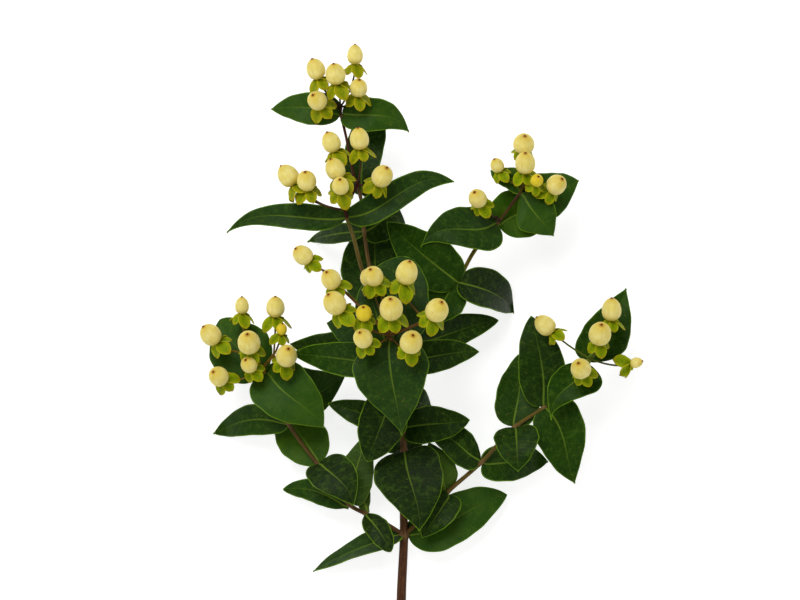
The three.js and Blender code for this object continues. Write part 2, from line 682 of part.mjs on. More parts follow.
// A berry's direction: its tip's place in x and y is given, and the rest of its half length points up.
function berryAxis(length, tipX, tipY) {
  const half = length / 2;
  const up = Math.sqrt(Math.max(half * half - tipX * tipX - tipY * tipY, 0));
  return new THREE.Vector3(tipX, tipY, up).normalize();
}

// One fruit is one closed skin: its stalk from the fork, its calyx, and its berry up to the tip.
function fruitGeometry(row, forks, index) {
  const [x, y, z, width, length, tipX, tipY, sepal, fork] = row;
  const axis = berryAxis(length, tipX, tipY);
  const foot = new THREE.Vector3(x, y, z).addScaledVector(axis, -length / 2);
  const turn = new THREE.Quaternion().setFromUnitVectors(new THREE.Vector3(0, 1, 0), axis);
  const stand = (ring) => ring.map((point) => point.applyQuaternion(turn).add(foot));

  const stalkTop = foot.clone().addScaledVector(axis, -SEPAL);
  const rings = stalkRings(forks[fork - 1], stalkTop, axis, turn);
  rings.push(stand(calyxRing(sepal, -SEPAL, index * SEPAL_TURN)));
  rings.push(stand(calyxRing(sepal, 0, index * SEPAL_TURN)));
  for (const [radius, height] of BERRY_RINGS) {
    rings.push(stand(levelRing(radius * width, height * length, BERRY_SIDES)));
  }
  return skinOverRings(rings, foot.clone().addScaledVector(axis, length));
}

// The rings of a stalk that leaves its fork towards the berry and meets it along the berry's axis.
function stalkRings(fork, end, axis, turn) {
  const bend = end.clone().addScaledVector(axis, -STALK_BEND * fork.distanceTo(end));
  const curve = new THREE.QuadraticBezierCurve3(end, bend, fork);
  const firstUp = new THREE.Vector3(0, 0, 1).applyQuaternion(turn);
  return parallelFrames(curve, STALK_STEPS, firstUp).map(({ side, up }, step) => {
    const middle = curve.getPoint(step / STALK_STEPS);
    return levelRing(STALK / 2, 0, STALK_SIDES)
      .map(({ x, z }) => middle.clone().addScaledVector(side, -x).addScaledVector(up, z));
  }).reverse();
}

// The head's own stem runs from just off its node to its first fork, and on to the others.
function forkStems(start, forks) {
  const ends = [[start, forks[0]], ...forks.slice(1).map((fork) => [forks[0], fork])];
  const stems = ends.map(([from, to]) => straightStem(from, to));
  const knots = forks.map((fork) => new THREE.OctahedronGeometry(KNOT / 2).translate(...fork.toArray()));
  return [...stems, ...knots];
}

function straightStem(from, to) {
  const stem = new THREE.CylinderGeometry(FORK_STEM / 2, FORK_STEM / 2, from.distanceTo(to), SHOOT_SIDES);
  const along = to.clone().sub(from).normalize();
  stem.applyQuaternion(new THREE.Quaternion().setFromUnitVectors(new THREE.Vector3(0, 1, 0), along));
  const middle = from.clone().lerp(to, 0.5);
  return stem.translate(middle.x, middle.y, middle.z);
}

function headGeometry(head, node) {
  const start = head.foot ? vector(head.foot) : node.point.clone().addScaledVector(node.along, HEAD_GAP);
  const forks = head.forks.map(vector);
  const berries = head.berries.map((row, index) => fruitGeometry(row, forks, index));
  return fuse([...forkStems(start, forks), ...berries]);
}

// ---- The whole branch ----

const nodes = findNodes();
const branch = new THREE.Group();

branch.add(namedMesh('stem', fuse(Object.values(STEMS).map(stemGeometry)), WOOD));

for (const [name, row] of Object.entries(LEAVES)) {
  const leaf = { ...LEAF_HABIT, ...row };
  const columns = PLAIN_LEAVES.includes(name) ? PLAIN_COLUMNS : WIDE_COLUMNS;
  const geometry = leafGeometry(leaf, leafFrame(leaf, nodes[leaf.at]), columns);
  branch.add(namedMesh(`leaf_${name}`, geometry, LEAF));
}

for (const [name, head] of Object.entries(HEADS)) {
  branch.add(namedMesh(`berries_${name}`, headGeometry(head, nodes[head.at]), BERRY));
}

export default branch;
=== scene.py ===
"""A cut branch of hypericum with cream berries, lying on a pale floor and seen from straight above.

Each solid of the CAD model is replaced by a finer piece of the same form: leaves with veins and thin
margins, round stems with bark, and heads whose berries, sepals and stalks are separate pieces. The tables
of stems, leaves and heads, and the rules for their places, repeat part.mjs in millimetres and in its
drawing frame.
"""

import math
from functools import partialmethod

import bmesh
import bpy
import numpy as np
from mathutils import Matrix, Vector


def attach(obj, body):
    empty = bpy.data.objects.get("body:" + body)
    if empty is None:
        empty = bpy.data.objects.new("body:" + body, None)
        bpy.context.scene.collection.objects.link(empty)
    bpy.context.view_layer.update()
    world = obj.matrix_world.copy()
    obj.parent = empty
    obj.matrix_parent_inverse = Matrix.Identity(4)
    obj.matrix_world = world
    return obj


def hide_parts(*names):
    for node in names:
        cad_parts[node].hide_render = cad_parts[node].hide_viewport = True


MM = 0.001  # a millimetre, in Blender's metres
UP = np.array([0.0, 0.0, 1.0])

# ---- The part's own dimensions, as in part.mjs ----

MIDDLE = (9.6, -40.1)  # the drawing's x and y at the frame's origin
GAP = 0.3  # from a stem to a leaf's foot
BLADE = 0.6  # a leaf's thickness
LEAF_FOOT = 2.2  # its width at its foot
FOOT_FLARE = 0.5  # how steeply it widens there
HOOK_PEAK = 6.75  # makes a hook's largest shift the number in its row
LOBE_FADE = 3  # how soon a back lobe ends along the leaf
LOBE_PEAK = 4.2  # makes a lobe's largest reach the number in its row
WAVE_ALONG = 11  # radians of the margins' wave from foot to tip
WAVE_ACROSS = 2  # and from the midrib to a margin
NODE_SWELL = 1.25
STALK_BEND = 0.45  # share of a stalk that is in line with its berry
SEPAL_COUNT = 5
SEPAL_VARIETY = 0.12  # share by which sepals differ in length, as a sine
SEPAL_TURN = 2.4  # radians of that sine, from one sepal or berry to the next

# Stems: rows of x, y, z, diameter and, at a node, its name.
STEMS = {
    "main": [
        (0.6, -195, 2.2, 4.4), (0.5, -165, 5.7, 4.4), (0.6, -135, 9.6, 4.3),
        (1.8, -106.6, 14, 3.8, "main_1"), (1.4, -88, 18, 3.3), (1.8, -69, 22, 3.0, "main_2"),
        (1.0, -58, 25, 2.8, "main_3"), (-1.2, -42, 29, 2.7, "main_4"), (-5.4, -21, 33, 2.5, "main_5"),
        (-9.9, 0, 34, 2.2, "main_6"), (-13.9, 15.7, 33, 1.8), (-16.2, 31, 32, 1.7, "a_lower"),
        (-18, 47.5, 36, 1.5, "a_upper"), (-20.7, 55.5, 38, 1.3), (-24.4, 74, 42, 1.2),
        (-26.6, 83.5, 44, 1.4, "a_head"),
    ],
    "b": [
        (-9.9, 0, 34, 1.8), (-14, 7, 41, 1.9), (-17.1, 13.9, 47, 1.9), (-21.1, 28.8, 53, 1.8),
        (-23.9, 37, 56, 1.7, "b_head"),
    ],
    "c": [
        (-1.2, -42, 29, 2.0), (1.5, -39.5, 38, 2.1), (0.5, -33, 50, 2.1),
        (-1.5, -27.5, 60, 2.0, "c_lower"), (-4.2, -18.5, 70, 1.8, "c_head"),
    ],
    "d": [
        (1.8, -106.6, 14, 1.9), (-5.7, -101.8, 15.5, 1.9), (-15.3, -96.9, 17, 1.9, "d_1"),
        (-22.5, -93, 19, 1.8, "d_2"), (-37.1, -74.5, 22, 1.7, "d_3"), (-50.5, -56, 24, 1.6, "d_4"),
        (-60.7, -33.5, 30, 1.5, "d_head"),
    ],
    "e": [
        (-1.2, -42, 29, 1.9), (8, -26, 23.5, 1.9), (18, -7, 22.5, 1.8), (26.1, 8.1, 30, 1.7, "e_lower"),
        (33.8, 22.5, 32, 1.9), (43.7, 34.2, 33, 1.4, "e_upper"), (54.3, 48.5, 36, 1.3, "e_head"),
    ],
    "f": [
        (1.8, -106.6, 14, 2.0), (8, -101, 16, 2.0), (21.2, -87.3, 18, 2.0, "f_1"),
        (36.9, -73.4, 21, 1.9, "f_2"), (51.8, -57.6, 24, 1.8, "f_3"), (65.3, -48.2, 24, 1.6, "f_4"),
        (75.5, -38.5, 25.5, 1.5), (84.6, -28.3, 30, 1.4, "f_head"),
    ],
}

LEAF_HABIT = dict(roll=0, fold=8, arch=2, sway=0, hook=0, lobe=2.5, slant=0, wave=0.5, taper=0.9)


def grown(tip, width, lift=0, at=None, **bends):
    """A leaf at a node, or else at the one in its own name, bent by the habit or in its own way."""
    return dict(LEAF_HABIT, tip=tip, width=width, lift=lift, at=at, **bends)


LEAVES = {
    "a_head_left": grown((-58, 86, 38), 15, -10, arch=3.5, lobe=1.5, sway=-2.5, hook=0.5, slant=-2),
    "a_head_right": grown((4, 75.8, 40), 16, -12, arch=5, lobe=2.3, hook=3.5, taper=0.95, sway=0.5),
    "a_upper_back": grown((-10.5, 86, 26), 17.5, -60, sway=3, slant=-0.5, taper=0.5, hook=-0.5),
    "b_head_left": grown((-77.9, 30.3, 46), 11.5, -10, arch=5, hook=-5.5, lobe=2, slant=-3.2, taper=0.95),
    "b_head_right": grown((24.3, 53.1, 54), 13.5, arch=3, hook=8, lobe=3.6, sway=-4, slant=1.2,
        taper=0.75),
    "a_lower_left": grown((-42, 26.5, -8), 9, -20, arch=4, sway=-1.5, hook=0.5, lobe=3.5, taper=1.3,
        slant=-0.5),
    "a_lower_right": grown((2.3, 34.7, 20), 19, -20, sway=1.5, hook=3, taper=0.6),
    "main_6_back": grown((-10.5, 38.5, 14), 31, -60, sway=2.2, taper=0.85, hook=-0.5, slant=3),
    "e_lower_left": grown((-5.9, 35.1, 42), 23, 100, sway=0.5, roll=-6, lobe=1.2, slant=0.2, taper=0.85),
    "e_lower_right": grown((51.8, -5.9, -9), 19.5, 62, arch=6, sway=1.5, hook=-0.5, lobe=3.4, slant=-1.2,
        taper=1.2, fold=22, roll=-22),
    "e_lower_down": grown((13.5, -13.5, 28), 19.5, 28, arch=0, sway=1.5, lobe=0.3, hook=-2, slant=-1,
        taper=1.05),
    "e_upper_left": grown((9.4, 23.9, 41), 22, 50, arch=4, sway=4, hook=-7.5, slant=2, taper=1.15, lobe=2),
    "e_upper_right": grown((65.4, 50.4, 20), 24.5, -45, lobe=2, hook=-4.5, slant=1, taper=0.75, sway=1.5),
    "e_head_front": grown((69.3, 29, 31), 19.5, 10, arch=3, lobe=-2.5, sway=-1.5, hook=1, slant=0.5,
        taper=1),
    "e_head_right": grown((80.8, 54, 24), 21.5, -60, sway=-5.5, hook=2.5, lobe=1, slant=1.5, taper=0.95),
    "e_head_left": grown((41, 58.5, 31), 10, -15, sway=-4.5, hook=3, lobe=-0.5, slant=1),
    "c_head_down": grown((0.7, -60.5, 66), 34.5, 70, arch=4, taper=1.35, sway=-2, lobe=0.5, slant=0.5,
        hook=1.5),
    "c_head_up": grown((3, 19.5, 57), 31, -60, arch=0, taper=0.6, hook=2),
    "c_head_upper_left": grown((-15.3, 8.1, 67), 18, -25, at="c_head", lobe=0.5, taper=0.6),
    "c_head_left": grown((-32.9, -10.4, 36), 24, -75, at="c_lower", sway=-3, taper=0.85, hook=-1.5,
        lobe=1.5),
    "c_lower_left": grown((-49, -24.2, 37), 16, arch=3.5, sway=1, hook=-1),
    "c_lower_right": grown((35.4, -23.2, 60), 15.5, arch=3, sway=-1, hook=1.5, lobe=4, slant=-1,
        taper=0.8),
    "main_5_left": grown((-49.5, -19.8, 31), 19, arch=5, sway=2),
    "main_5_right": grown((44.6, -9.2, 15), 16, arch=-0.5, sway=-3.5, hook=3, taper=0.7),
    "main_4_right": grown((14, -48, 10), 14, -85, lobe=0.5, hook=-0.5, taper=0.95),
    "d_head_back": grown((-81.5, -8.8, 22), 28, -25, sway=-1, hook=2.5, lobe=0, slant=0.5, taper=0.7),
    "d_head_front": grown((-34.4, -57.5, 34), 27, 40, arch=4, lobe=4.2, sway=-3, hook=3, slant=-1,
        taper=0.95),
    "d_head_right": grown((-23.9, -32, 10), 25.5, -85, roll=12, sway=-10, taper=0.85, lobe=-1, slant=1),
    "d_4_left": grown((-84.9, -60.8, -8), 14.5, -35, arch=4, sway=-6.5, hook=3, slant=-1.5, taper=1),
    "d_3_back": grown((-53, -50, 6), 23, -60, lobe=0, taper=0.6),
    "d_3_front": grown((-21, -92.7, 30), 20.5, 60, lobe=2.4, sway=0.5, hook=2, slant=-1.5, taper=0.95),
    "d_2_left": grown((-53.1, -86, 6), 10.5, -35, sway=-3.5, lobe=-1.5, slant=-2.5, taper=0.65),
    "d_2_up": grown((-17.6, -63, 16), 17.5, -35, lobe=1, sway=3.5, hook=-3.5, slant=-1.5, taper=0.85),
    "d_1_up": grown((-15.3, -76.5, 10), 6.5, -40, sway=3, lobe=-0.5, hook=-2, slant=2.5, taper=0.8),
    "d_1_down": grown((-4.1, -113.9, 26), 11, 70, sway=1, lobe=0, taper=0.6, wave=0.8),
    "main_1_left": grown((-39.5, -123.5, 4), 14.8, roll=52, sway=1.2, hook=-1, lobe=4, slant=1, taper=1),
    "main_1_right": grown((48.6, -88.5, 6), 22.5, -20, sway=-3.5, hook=3.5, lobe=2.7, taper=0.75,
        slant=0.5),
    "main_2_front": grown((8.7, -104.4, 30), 31.5, 80, lobe=3, sway=-1.5, hook=2.5, taper=1.1, slant=1),
    "main_2_back": grown((0, -57, 3), 23, -80, lobe=1),
    "main_3_right": grown((31.5, -54.2, 30), 17, slant=-1.5, sway=1, hook=-1, taper=0.8),
    "main_3_left": grown((-32.6, -46.8, 26), 13, sway=-1, taper=0.8, lobe=1),
    "main_4_left": grown((-14.9, -72.9, 34), 22, 50, lobe=0, taper=0.75),
    "f_1_down": grown((9.9, -107.6, 22), 15.5, 40),
    "f_1_up": grown((13, -64.4, 18), 15, -40, lobe=0.5, sway=-1.5, hook=0.5, taper=0.95),
    "f_2_left": grown((14.9, -61.7, 24), 16, 10, sway=1, hook=-3.5, slant=1.5, taper=0.65, lobe=0.9),
    "f_2_right": grown((67.3, -73.6, -7), 17.5, -48, arch=3, lobe=4, hook=1, taper=0.95),
    "f_3_front": grown((53.3, -77.4, 31), 20.5, 60, slant=0.5, taper=1, lobe=2.4),
    "f_3_back": grown((53.6, -24.8, 12), 21, -55, sway=-1, hook=-1, slant=-1, taper=0.85, lobe=1.7),
    "f_4_up": grown((59.2, -7.2, 30), 22, 45, sway=-3, roll=-8, lobe=2, hook=1, taper=0.8),
    "f_4_down": grown((79.2, -83.1, 17), 23.5, -10, sway=4.5, lobe=4, hook=-3, slant=2, taper=1.05),
    "f_head_down": grown((68.2, -54.1, 35), 20.5, 50, sway=1.5, taper=1.4, lobe=-1, hook=-5, slant=1),
    "f_head_up": grown((102.3, 5.2, 24), 21.5, -40, sway=-4, taper=1.05, hook=1.5, lobe=0, slant=1),
}

# A berry's row: centre x, y, z, width, length, where its tip points in x and y, sepal length, and fork.
HEADS = {
    "a": dict(forks=[(-26.8, 86.8, 46)], berries=[
        (-20.2, 110.5, 52, 7.2, 9.4, 0, 4.6, 7.2, 1), (-38, 104, 56, 8.6, 10.2, -1.6, 4.5, 8, 1),
        (-29, 101.7, 60, 9.2, 10.4, -0.9, 4.5, 8.4, 1), (-18.6, 95.6, 56, 8.2, 9, 0.4, 3.4, 7.8, 1),
        (-37.4, 89.8, 58, 8.8, 9.8, -1.8, 2.2, 8.2, 1),
    ]),
    "b": dict(forks=[(-24.6, 40.4, 58.5), (-19, 52, 64)], berries=[
        (-31, 71.1, 66, 8.4, 10.2, -1.8, 4.3, 8, 1), (-18.3, 72.5, 70, 8.8, 10.6, -0.6, 4.8, 7.6, 2),
        (-29.2, 59, 74, 8.8, 10.8, -2, 4.2, 9, 1), (-50.4, 56, 68, 9.3, 10.8, -3.2, 4.3, 8.4, 1),
        (-41.8, 53.7, 74, 8.8, 10.2, -0.6, 3.7, 7.8, 1), (-26.6, 51.3, 80, 7.8, 9.2, -0.2, 2.6, 8, 1),
        (-7.7, 55.8, 72, 9.6, 11.2, 2, 3.5, 7.8, 2),
    ]),
    "c": dict(forks=[(-4.6, -16, 73), (-34, 13, 80), (12, -9, 78)], berries=[
        (-43.7, 20.4, 86, 8.6, 10.2, -3, 2.7, 6.6, 2), (-31, 9.6, 90, 9, 10.2, -1.8, 3, 7.8, 2),
        (-29.4, -0.9, 94, 10.2, 12, -2.7, 3.6, 8.6, 1), (-14.2, 10.3, 82, 7.6, 9, -1, 3, 6.6, 1),
        (-12, 11, 92, 8.8, 10.4, -1.3, 2.8, 7.8, 1), (3.2, 12.8, 90, 10, 12.4, 1.2, 4.7, 9, 3),
        (-4, -3.2, 96, 10.7, 12.2, -0.3, 3.9, 9, 1), (-16.1, -5.5, 92, 7.2, 8.2, -0.2, 2.5, 7.2, 1),
        (16.7, -4.1, 92, 10.4, 12, 2, 3.4, 8.4, 3), (-16.7, -16.7, 92, 8.8, 9.6, -1.3, 2.4, 7.2, 1),
        (5.1, -18.3, 92, 10.4, 11.6, 0.7, 2.8, 7.8, 1),
    ]),
    "d": dict(forks=[(-62, -30.5, 32), (-68, -24, 36), (-57, -25, 36)], berries=[
        (-71.2, -2.2, 40, 6.4, 8.2, 0, 3.9, 7.2, 2), (-56.1, -2.8, 44, 8.6, 10, 0, 4.7, 8.4, 3),
        (-85.6, -15.2, 44, 9.4, 11, -3.2, 3.5, 7.8, 2), (-68, -18.6, 52, 10.4, 12.4, -0.6, 3.5, 7.6, 2),
        (-53.2, -12.9, 46, 5, 6, 0.4, 2.5, 6, 3), (-50.9, -24.7, 48.5, 9.9, 11.4, 0.8, 3, 7.8, 3),
        (-82, -34.1, 44, 9, 10.4, -2.2, 1.9, 7.6, 1), (-68.1, -28.8, 46, 7.6, 8.4, -1.5, 2, 7, 1),
    ]),
    "e": dict(forks=[(55.2, 51, 38), (60, 52.5, 41)], berries=[
        (55.8, 70.7, 44, 9.8, 9.8, 0.4, 3.3, 6.6, 1), (56.3, 62.1, 50, 9.4, 10.8, 0, 4.2, 7.6, 1),
        (43.6, 60.9, 44, 6.2, 7.2, -1.3, 2.7, 6, 1), (61.6, 54, 50, 5.8, 6.6, 0.7, 1.6, 6, 2),
        (70.7, 52.2, 46, 9, 10.4, 2.4, 2.4, 7.6, 2),
    ]),
    "e_side": dict(at="e_upper", foot=(44.9, 35.8, 34.7), forks=[(43.2, 37, 38)], berries=[
        (34.7, 46, 51.5, 8.4, 9.6, -1.4, 2.6, 7, 1),
    ]),
    "f": dict(forks=[(86, -26.6, 33.5)], berries=[
        (64.9, -11, 44, 8.8, 10.6, -3.8, 3.5, 6.6, 1), (95.2, -3.9, 44, 9.1, 11, 0, 5.1, 7.2, 1),
        (90, -14.7, 50, 10.4, 12, 0.5, 3.9, 7.2, 1), (81.1, -30.5, 50, 9.4, 10.4, -1.1, 2.3, 7.2, 1),
        (106.8, -28.2, 38, 4.8, 6.2, 2.7, 0.7, 8, 1),
    ]),
}

# ---- Finer shapes than the CAD model's, in millimetres and shares of a length or width ----

BLADE_ROWS = 40
BLADE_COLUMNS = 24
BLADE_EDGE = 0.14  # half of a leaf's thickness at its margin
BLADE_MIDDLE = 0.26  # and elsewhere
EDGE_WIDTH = 0.8
LEAF_POINT = 0.9  # its width at its very tip
ROOT_SHARE = 0.06  # over which its foot reaches in
ROOT_REACH = 0.9  # how far, across the CAD model's gap
UNEVEN = ((0.022, 13), (0.012, 31))  # of the margins: share of the width, and radians
UNEVEN_LAG = 2  # radians from the midrib to a margin
MIDRIB_GROOVE = 0.12  # depth in the upper face
MIDRIB_RIDGE = 0.4  # height on the lower face
MIDRIB_WIDTH = 0.6
MIDRIB_TAPER = 0.6  # towards the tip
VEIN_GROOVE = 0.05
VEIN_WIDTH = 0.9
VEIN_PAIRS = 6.5
VEIN_START = 0.3  # in spacings
VEIN_STAGGER = 0.12  # between the two halves' veins
VEIN_SLOPE = 0.3  # how far a side vein climbs to the margin
VEIN_BOW = 1.25
VEIN_FADE = 0.1  # over which the veins start and the midrib ends
VEIN_RISE = (0.2, 2.5)  # from the margin, over which a vein rises
LEAF_SEED = 3.7

STEM_SIDES = 16
STEM_STEP = 1.3  # between its rings
STEM_SEED = 7.3
NODE_LENGTH = 1.5  # reach of the swelling at a node

BERRY_SIDES = 28
BERRY_RINGS = 20
BERRY_START = 0.06  # of the half turn from foot to tip
BERRY_WAIST = 0.43
BERRY_BODY = 0.965  # its length below the remnant of its style
BERRY_BELOW = (2.5, 0.43)  # powers that round it below its waist
BERRY_ABOVE = (2.05, 0.6)  # and above
BERRY_HALF = 0.49
BERRY_LUMPS = ((0.012, 3, 1), (0.01, 2, 2))  # height, count and spin
STYLE_WIDTH = 0.95
STYLE_EDGE = 0.9  # of its width, where the berry ends
STYLE_RINGS = ((0.966, 0.9), (0.985, 1), (0.998, 0.7), (1, 0.2))  # heights and widths
SEPAL_ROWS = 9
SEPAL_COLUMNS = 8
SEPAL_CROWDING = 0.9
SEPAL_WIDTH = 0.72  # of its length
SEPAL_ROUNDING = (1.25, 0.55)  # powers, as above
SEPAL_FOOT = (0.42, 0.6)  # width of its foot, and where the foot ends
SEPAL_POINT = 0.03
SEPAL_HALF = 0.17  # half of its thickness
SEPAL_BEND = (70, 34)  # degrees from the stalk, at its foot and tip
SEPAL_LEAN = 8  # degrees, at most
SEPAL_CUP = 0.07  # rise of its edges
SEPAL_TWIST = 0.09  # how far one edge lies above the next sepal's
SEPAL_RIPPLE = 0.02
SEPAL_DROP = 0.25  # from the berry's foot to the sepals'
STALK_SIDES = 10
STALK_STEPS = 12
STALK_WIDTH = 0.85
STALK_SINK = 0.5  # from the berry's foot to the stalk's end
STALK_SWELLS = ((0.25, 0.8), (0.9, 0.9))  # at its foot and at its end: growth, and reach
STALK_TILT = 0.01  # keeps an upright stalk's rings from facing along it
FORK_WIDTH = 1.3
FORK_SWELLS = ((0, 1), (0.5, 1))
FORK_UP = np.array([0.3, 0.2, 1.0])  # in line with no stem of a fork


# ---- Colours, as everyday numbers from 0 to 255 ----

LEAF_GREEN = (24, 46, 6)
# The leaves of another green: partly their own green, such as the lime of a turned underside, and partly
# painted light and shade, darker for leaves that lie in shade and paler and greyer for leaves whose face
# catches the lights' sheen.
LEAF_GREENS_AND_SHADES = (
    ((21, 36, 10),
        "e_lower_right d_3_front d_1_down main_2_front main_4_left"),
    ((31, 59, 5),
        "e_lower_left e_lower_down c_lower_left d_head_right d_4_left d_2_left d_2_up f_2_right "
        "f_3_back f_4_down f_head_down f_head_up"),
    ((36, 60, 20),
        "b_head_left b_head_right e_upper_left c_head_down c_head_up c_head_upper_left c_head_left "
        "main_1_left"),
    ((50, 80, 18),
        "a_head_left a_head_right e_head_front e_head_right e_head_left d_head_back d_head_front "
        "main_1_right"),
    ((56, 86, 6),
        "e_upper_right d_3_back d_1_up f_1_up"),
)
LEAF_TONES_AND_SHADES = {name: green for green, names in LEAF_GREENS_AND_SHADES for name in names.split()}
TURNED_LEAVES = ("d_2_up", "d_1_up", "f_1_up")  # show their paler underside from above

# Bark at the foot of each stem, at BARK_MIDDLE of its length and at its top.
BARK_START = 0.1
BARK_MIDDLE = 0.62
BARK_TONES = {
    "main": ((86, 52, 28), (120, 94, 50), (66, 18, 18)),
    "b": ((118, 88, 46), (112, 96, 40), (96, 96, 28)),
    "c": ((104, 88, 40), (96, 88, 36), (92, 88, 32)),
    "d": ((100, 72, 38), (90, 68, 30), (96, 78, 28)),
    "e": ((104, 74, 30), (116, 106, 22), (70, 36, 20)),
    "f": ((112, 86, 38), (106, 90, 30), (96, 88, 30)),
}
NODE_TONE = (150, 118, 80)
NODE_PALING = 0.5  # share of NODE_TONE at a node
# Stalks at their fork and at their berry.
STALK_TONES = {
    "a": ((52, 34, 16), (70, 62, 14)),
    "b": ((72, 24, 24), (90, 84, 22)),
    "c": ((126, 90, 42), (116, 108, 30)),
    "d": ((142, 108, 28), (132, 124, 24)),
    "e": ((104, 92, 26), (120, 124, 26)),
    "e_side": ((56, 30, 26), (104, 112, 24)),
    "f": ((100, 116, 26), (92, 108, 14)),
}
CREAM = (233, 215, 112)
YOUNG_YELLOW = (230, 204, 44)
YOUNG_BERRIES = (("c", 7), ("d", 4), ("e", 3))
PITH_TONE = (196, 184, 132)
SEPAL_TONE = (132, 150, 4)
SEPAL_WARM = (150, 148, 14)
WARM_HEADS = ("a", "b")


def srgb(red, green, blue):
    """An everyday colour as Blender's linear colour."""
    def linear(value):
        value /= 255
        return value / 12.92 if value <= 0.04045 else ((value + 0.055) / 1.055) ** 2.4
    return (linear(red), linear(green), linear(blue), 1.0)


def repeated(colour, count):
    return np.tile(np.array(srgb(*colour)), (count, 1))


def blended(low, high, shares):
    """A row of colour for each share, from low to high."""
    shares = np.asarray(shares, float)[:, None]
    return np.array(srgb(*low)) * (1 - shares) + np.array(srgb(*high)) * shares


# ---- Vectors, curves and meshes ----

def unit(vector):
    return vector / np.linalg.norm(vector)


def smooth(value, low, high):
    """0 below low, 1 above high and an S between."""
    share = np.clip((value - low) / (high - low), 0, 1)
    return share * share * (3 - 2 * share)


def bell(distance, width):
    return np.exp(-((distance / width) ** 2))


def spline_point(points, share):
    """A point of the centripetal Catmull-Rom curve through the points."""
    last = len(points) - 1
    index = min(int(share * last), last - 1)
    weight = share * last - index
    start, end = points[index], points[index + 1]
    before = points[index - 1] if index > 0 else 2 * start - end
    after = points[index + 2] if index + 2 <= last else 2 * end - start
    gaps = [np.linalg.norm(b - a) ** 0.5 for a, b in ((before, start), (start, end), (end, after))]
    leave = (start - before) / gaps[0] - (end - before) / (gaps[0] + gaps[1]) + (end - start) / gaps[1]
    reach = (end - start) / gaps[1] - (after - start) / (gaps[1] + gaps[2]) + (after - end) / gaps[2]
    leave, reach = leave * gaps[1], reach * gaps[1]
    square = -3 * start + 3 * end - 2 * leave - reach
    cube = 2 * start - 2 * end + leave + reach
    return start + weight * (leave + weight * (square + weight * cube))


def spline_direction(points, share):
    step = 0.0001
    ahead = spline_point(points, min(share + step, 1))
    return unit(ahead - spline_point(points, max(share - step, 0)))


def ring_frames(directions, up):
    """Two directions square to each of a curve's directions, turned as little as possible between them."""
    frames = []
    for along in directions:
        side = unit(np.cross(along, up))
        up = unit(np.cross(side, along))
        frames.append((side, up))
    return frames


class Shape:
    """Points and faces of one piece, gathered from several parts, with values for its material."""

    def __init__(self):
        self.points = []
        self.faces = []
        self.slots = []
        self.values = {}

    def add(self, points, faces, slots=None, **values):
        first = sum(len(block) for block in self.points)
        self.points.append(points)
        self.faces += [tuple(first + corner for corner in face) for face in faces]
        self.slots += slots or [0] * len(faces)
        for name, rows in values.items():
            self.values.setdefault(name, []).append(rows)

    def piece(self, name, node, slot_name, materials):
        """The finished object, which stands for a CAD node."""
        points = (np.concatenate(self.points) - np.array([*MIDDLE, 0])) * MM
        mesh = bpy.data.meshes.new(name)
        mesh.from_pydata(points.tolist(), [], self.faces)
        mesh.polygons.foreach_set("material_index", self.slots)
        mesh.polygons.foreach_set("use_smooth", [True] * len(self.faces))
        for value, blocks in self.values.items():
            rows = np.concatenate(blocks)
            kind, field = ("FLOAT_COLOR", "color") if rows.shape[1] == 4 else ("FLOAT_VECTOR", "vector")
            layer = mesh.attributes.new(value, kind, "POINT")
            layer.data.foreach_set(field, rows.ravel())
        face_outward(mesh)
        for material in materials:
            mesh.materials.append(material)
        thing = bpy.data.objects.new(name, mesh)
        bpy.context.scene.collection.objects.link(thing)
        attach(thing, "root")
        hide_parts(node)


def face_outward(mesh):
    work = bmesh.new()
    work.from_mesh(mesh)
    bmesh.ops.recalc_face_normals(work, faces=work.faces)
    work.to_mesh(mesh)
    work.free()


def tube_faces(rings, sides):
    """Faces of a tube's wall, and then of its two flat ends."""
    faces = []
    for ring in range(rings - 1):
        for side in range(sides):
            near, far = ring * sides, (ring + 1) * sides
            turn = (side + 1) % sides
            faces.append((near + side, near + turn, far + turn, far + side))
    faces.append(tuple(reversed(range(sides))))
    faces.append(tuple((rings - 1) * sides + side for side in range(sides)))
    return faces


def tube_points(middles, frames, radii, sides):
    angles = np.arange(sides) * 2 * math.pi / sides
    rings = []
    for middle, (side, up), radius in zip(middles, frames, radii):
        offsets = np.outer(np.cos(angles), side) + np.outer(np.sin(angles), up)
        rings.append(middle + radius * offsets)
    return np.concatenate(rings)


def tube_values(along, sides, seed):
    """Each point's turn round a tube, from 0 to 1, its place along it, and the tube's seed."""
    turns = np.tile(np.arange(sides) / sides, len(along))
    return np.stack([turns, np.repeat(along, sides), np.full(len(turns), seed)], axis=1)


def add_wood(shape, middles, frames, radii, tones, lengths, sides, seed=0, foot_slot=0):
    """A closed tube of bark, with the material of foot_slot on the end at its foot."""
    faces = tube_faces(len(middles), sides)
    slots = [0] * (len(faces) - 2) + [foot_slot, 0]
    shape.add(
        tube_points(middles, frames, radii, sides), faces, slots,
        tone=np.repeat(tones, sides, axis=0), wood=tube_values(lengths, sides, seed),
    )


def across_places(spans):
    """Places from -1 to 1 across a sheet, closer together towards its margins."""
    return np.sin(np.linspace(-1, 1, spans + 1) * math.pi / 2)


def both_faces(*layers):
    """A row of three values for each point of a sheet's upper face, and again for its lower face."""
    return np.tile(np.stack(layers, axis=-1).reshape(-1, 3), (2, 1))


def sheet_normals(grid, towards):
    """Directions out of a grid of points, on the side that a given direction points to."""
    rows, columns = np.gradient(grid, axis=0), np.gradient(grid, axis=1)
    normals = np.cross(rows, columns)
    normals /= np.maximum(np.linalg.norm(normals, axis=-1, keepdims=True), 1e-9)
    return normals * np.sign(normals @ towards)[..., None]


def sheet_points(top, bottom):
    return np.concatenate([top, bottom]).reshape(-1, 3)


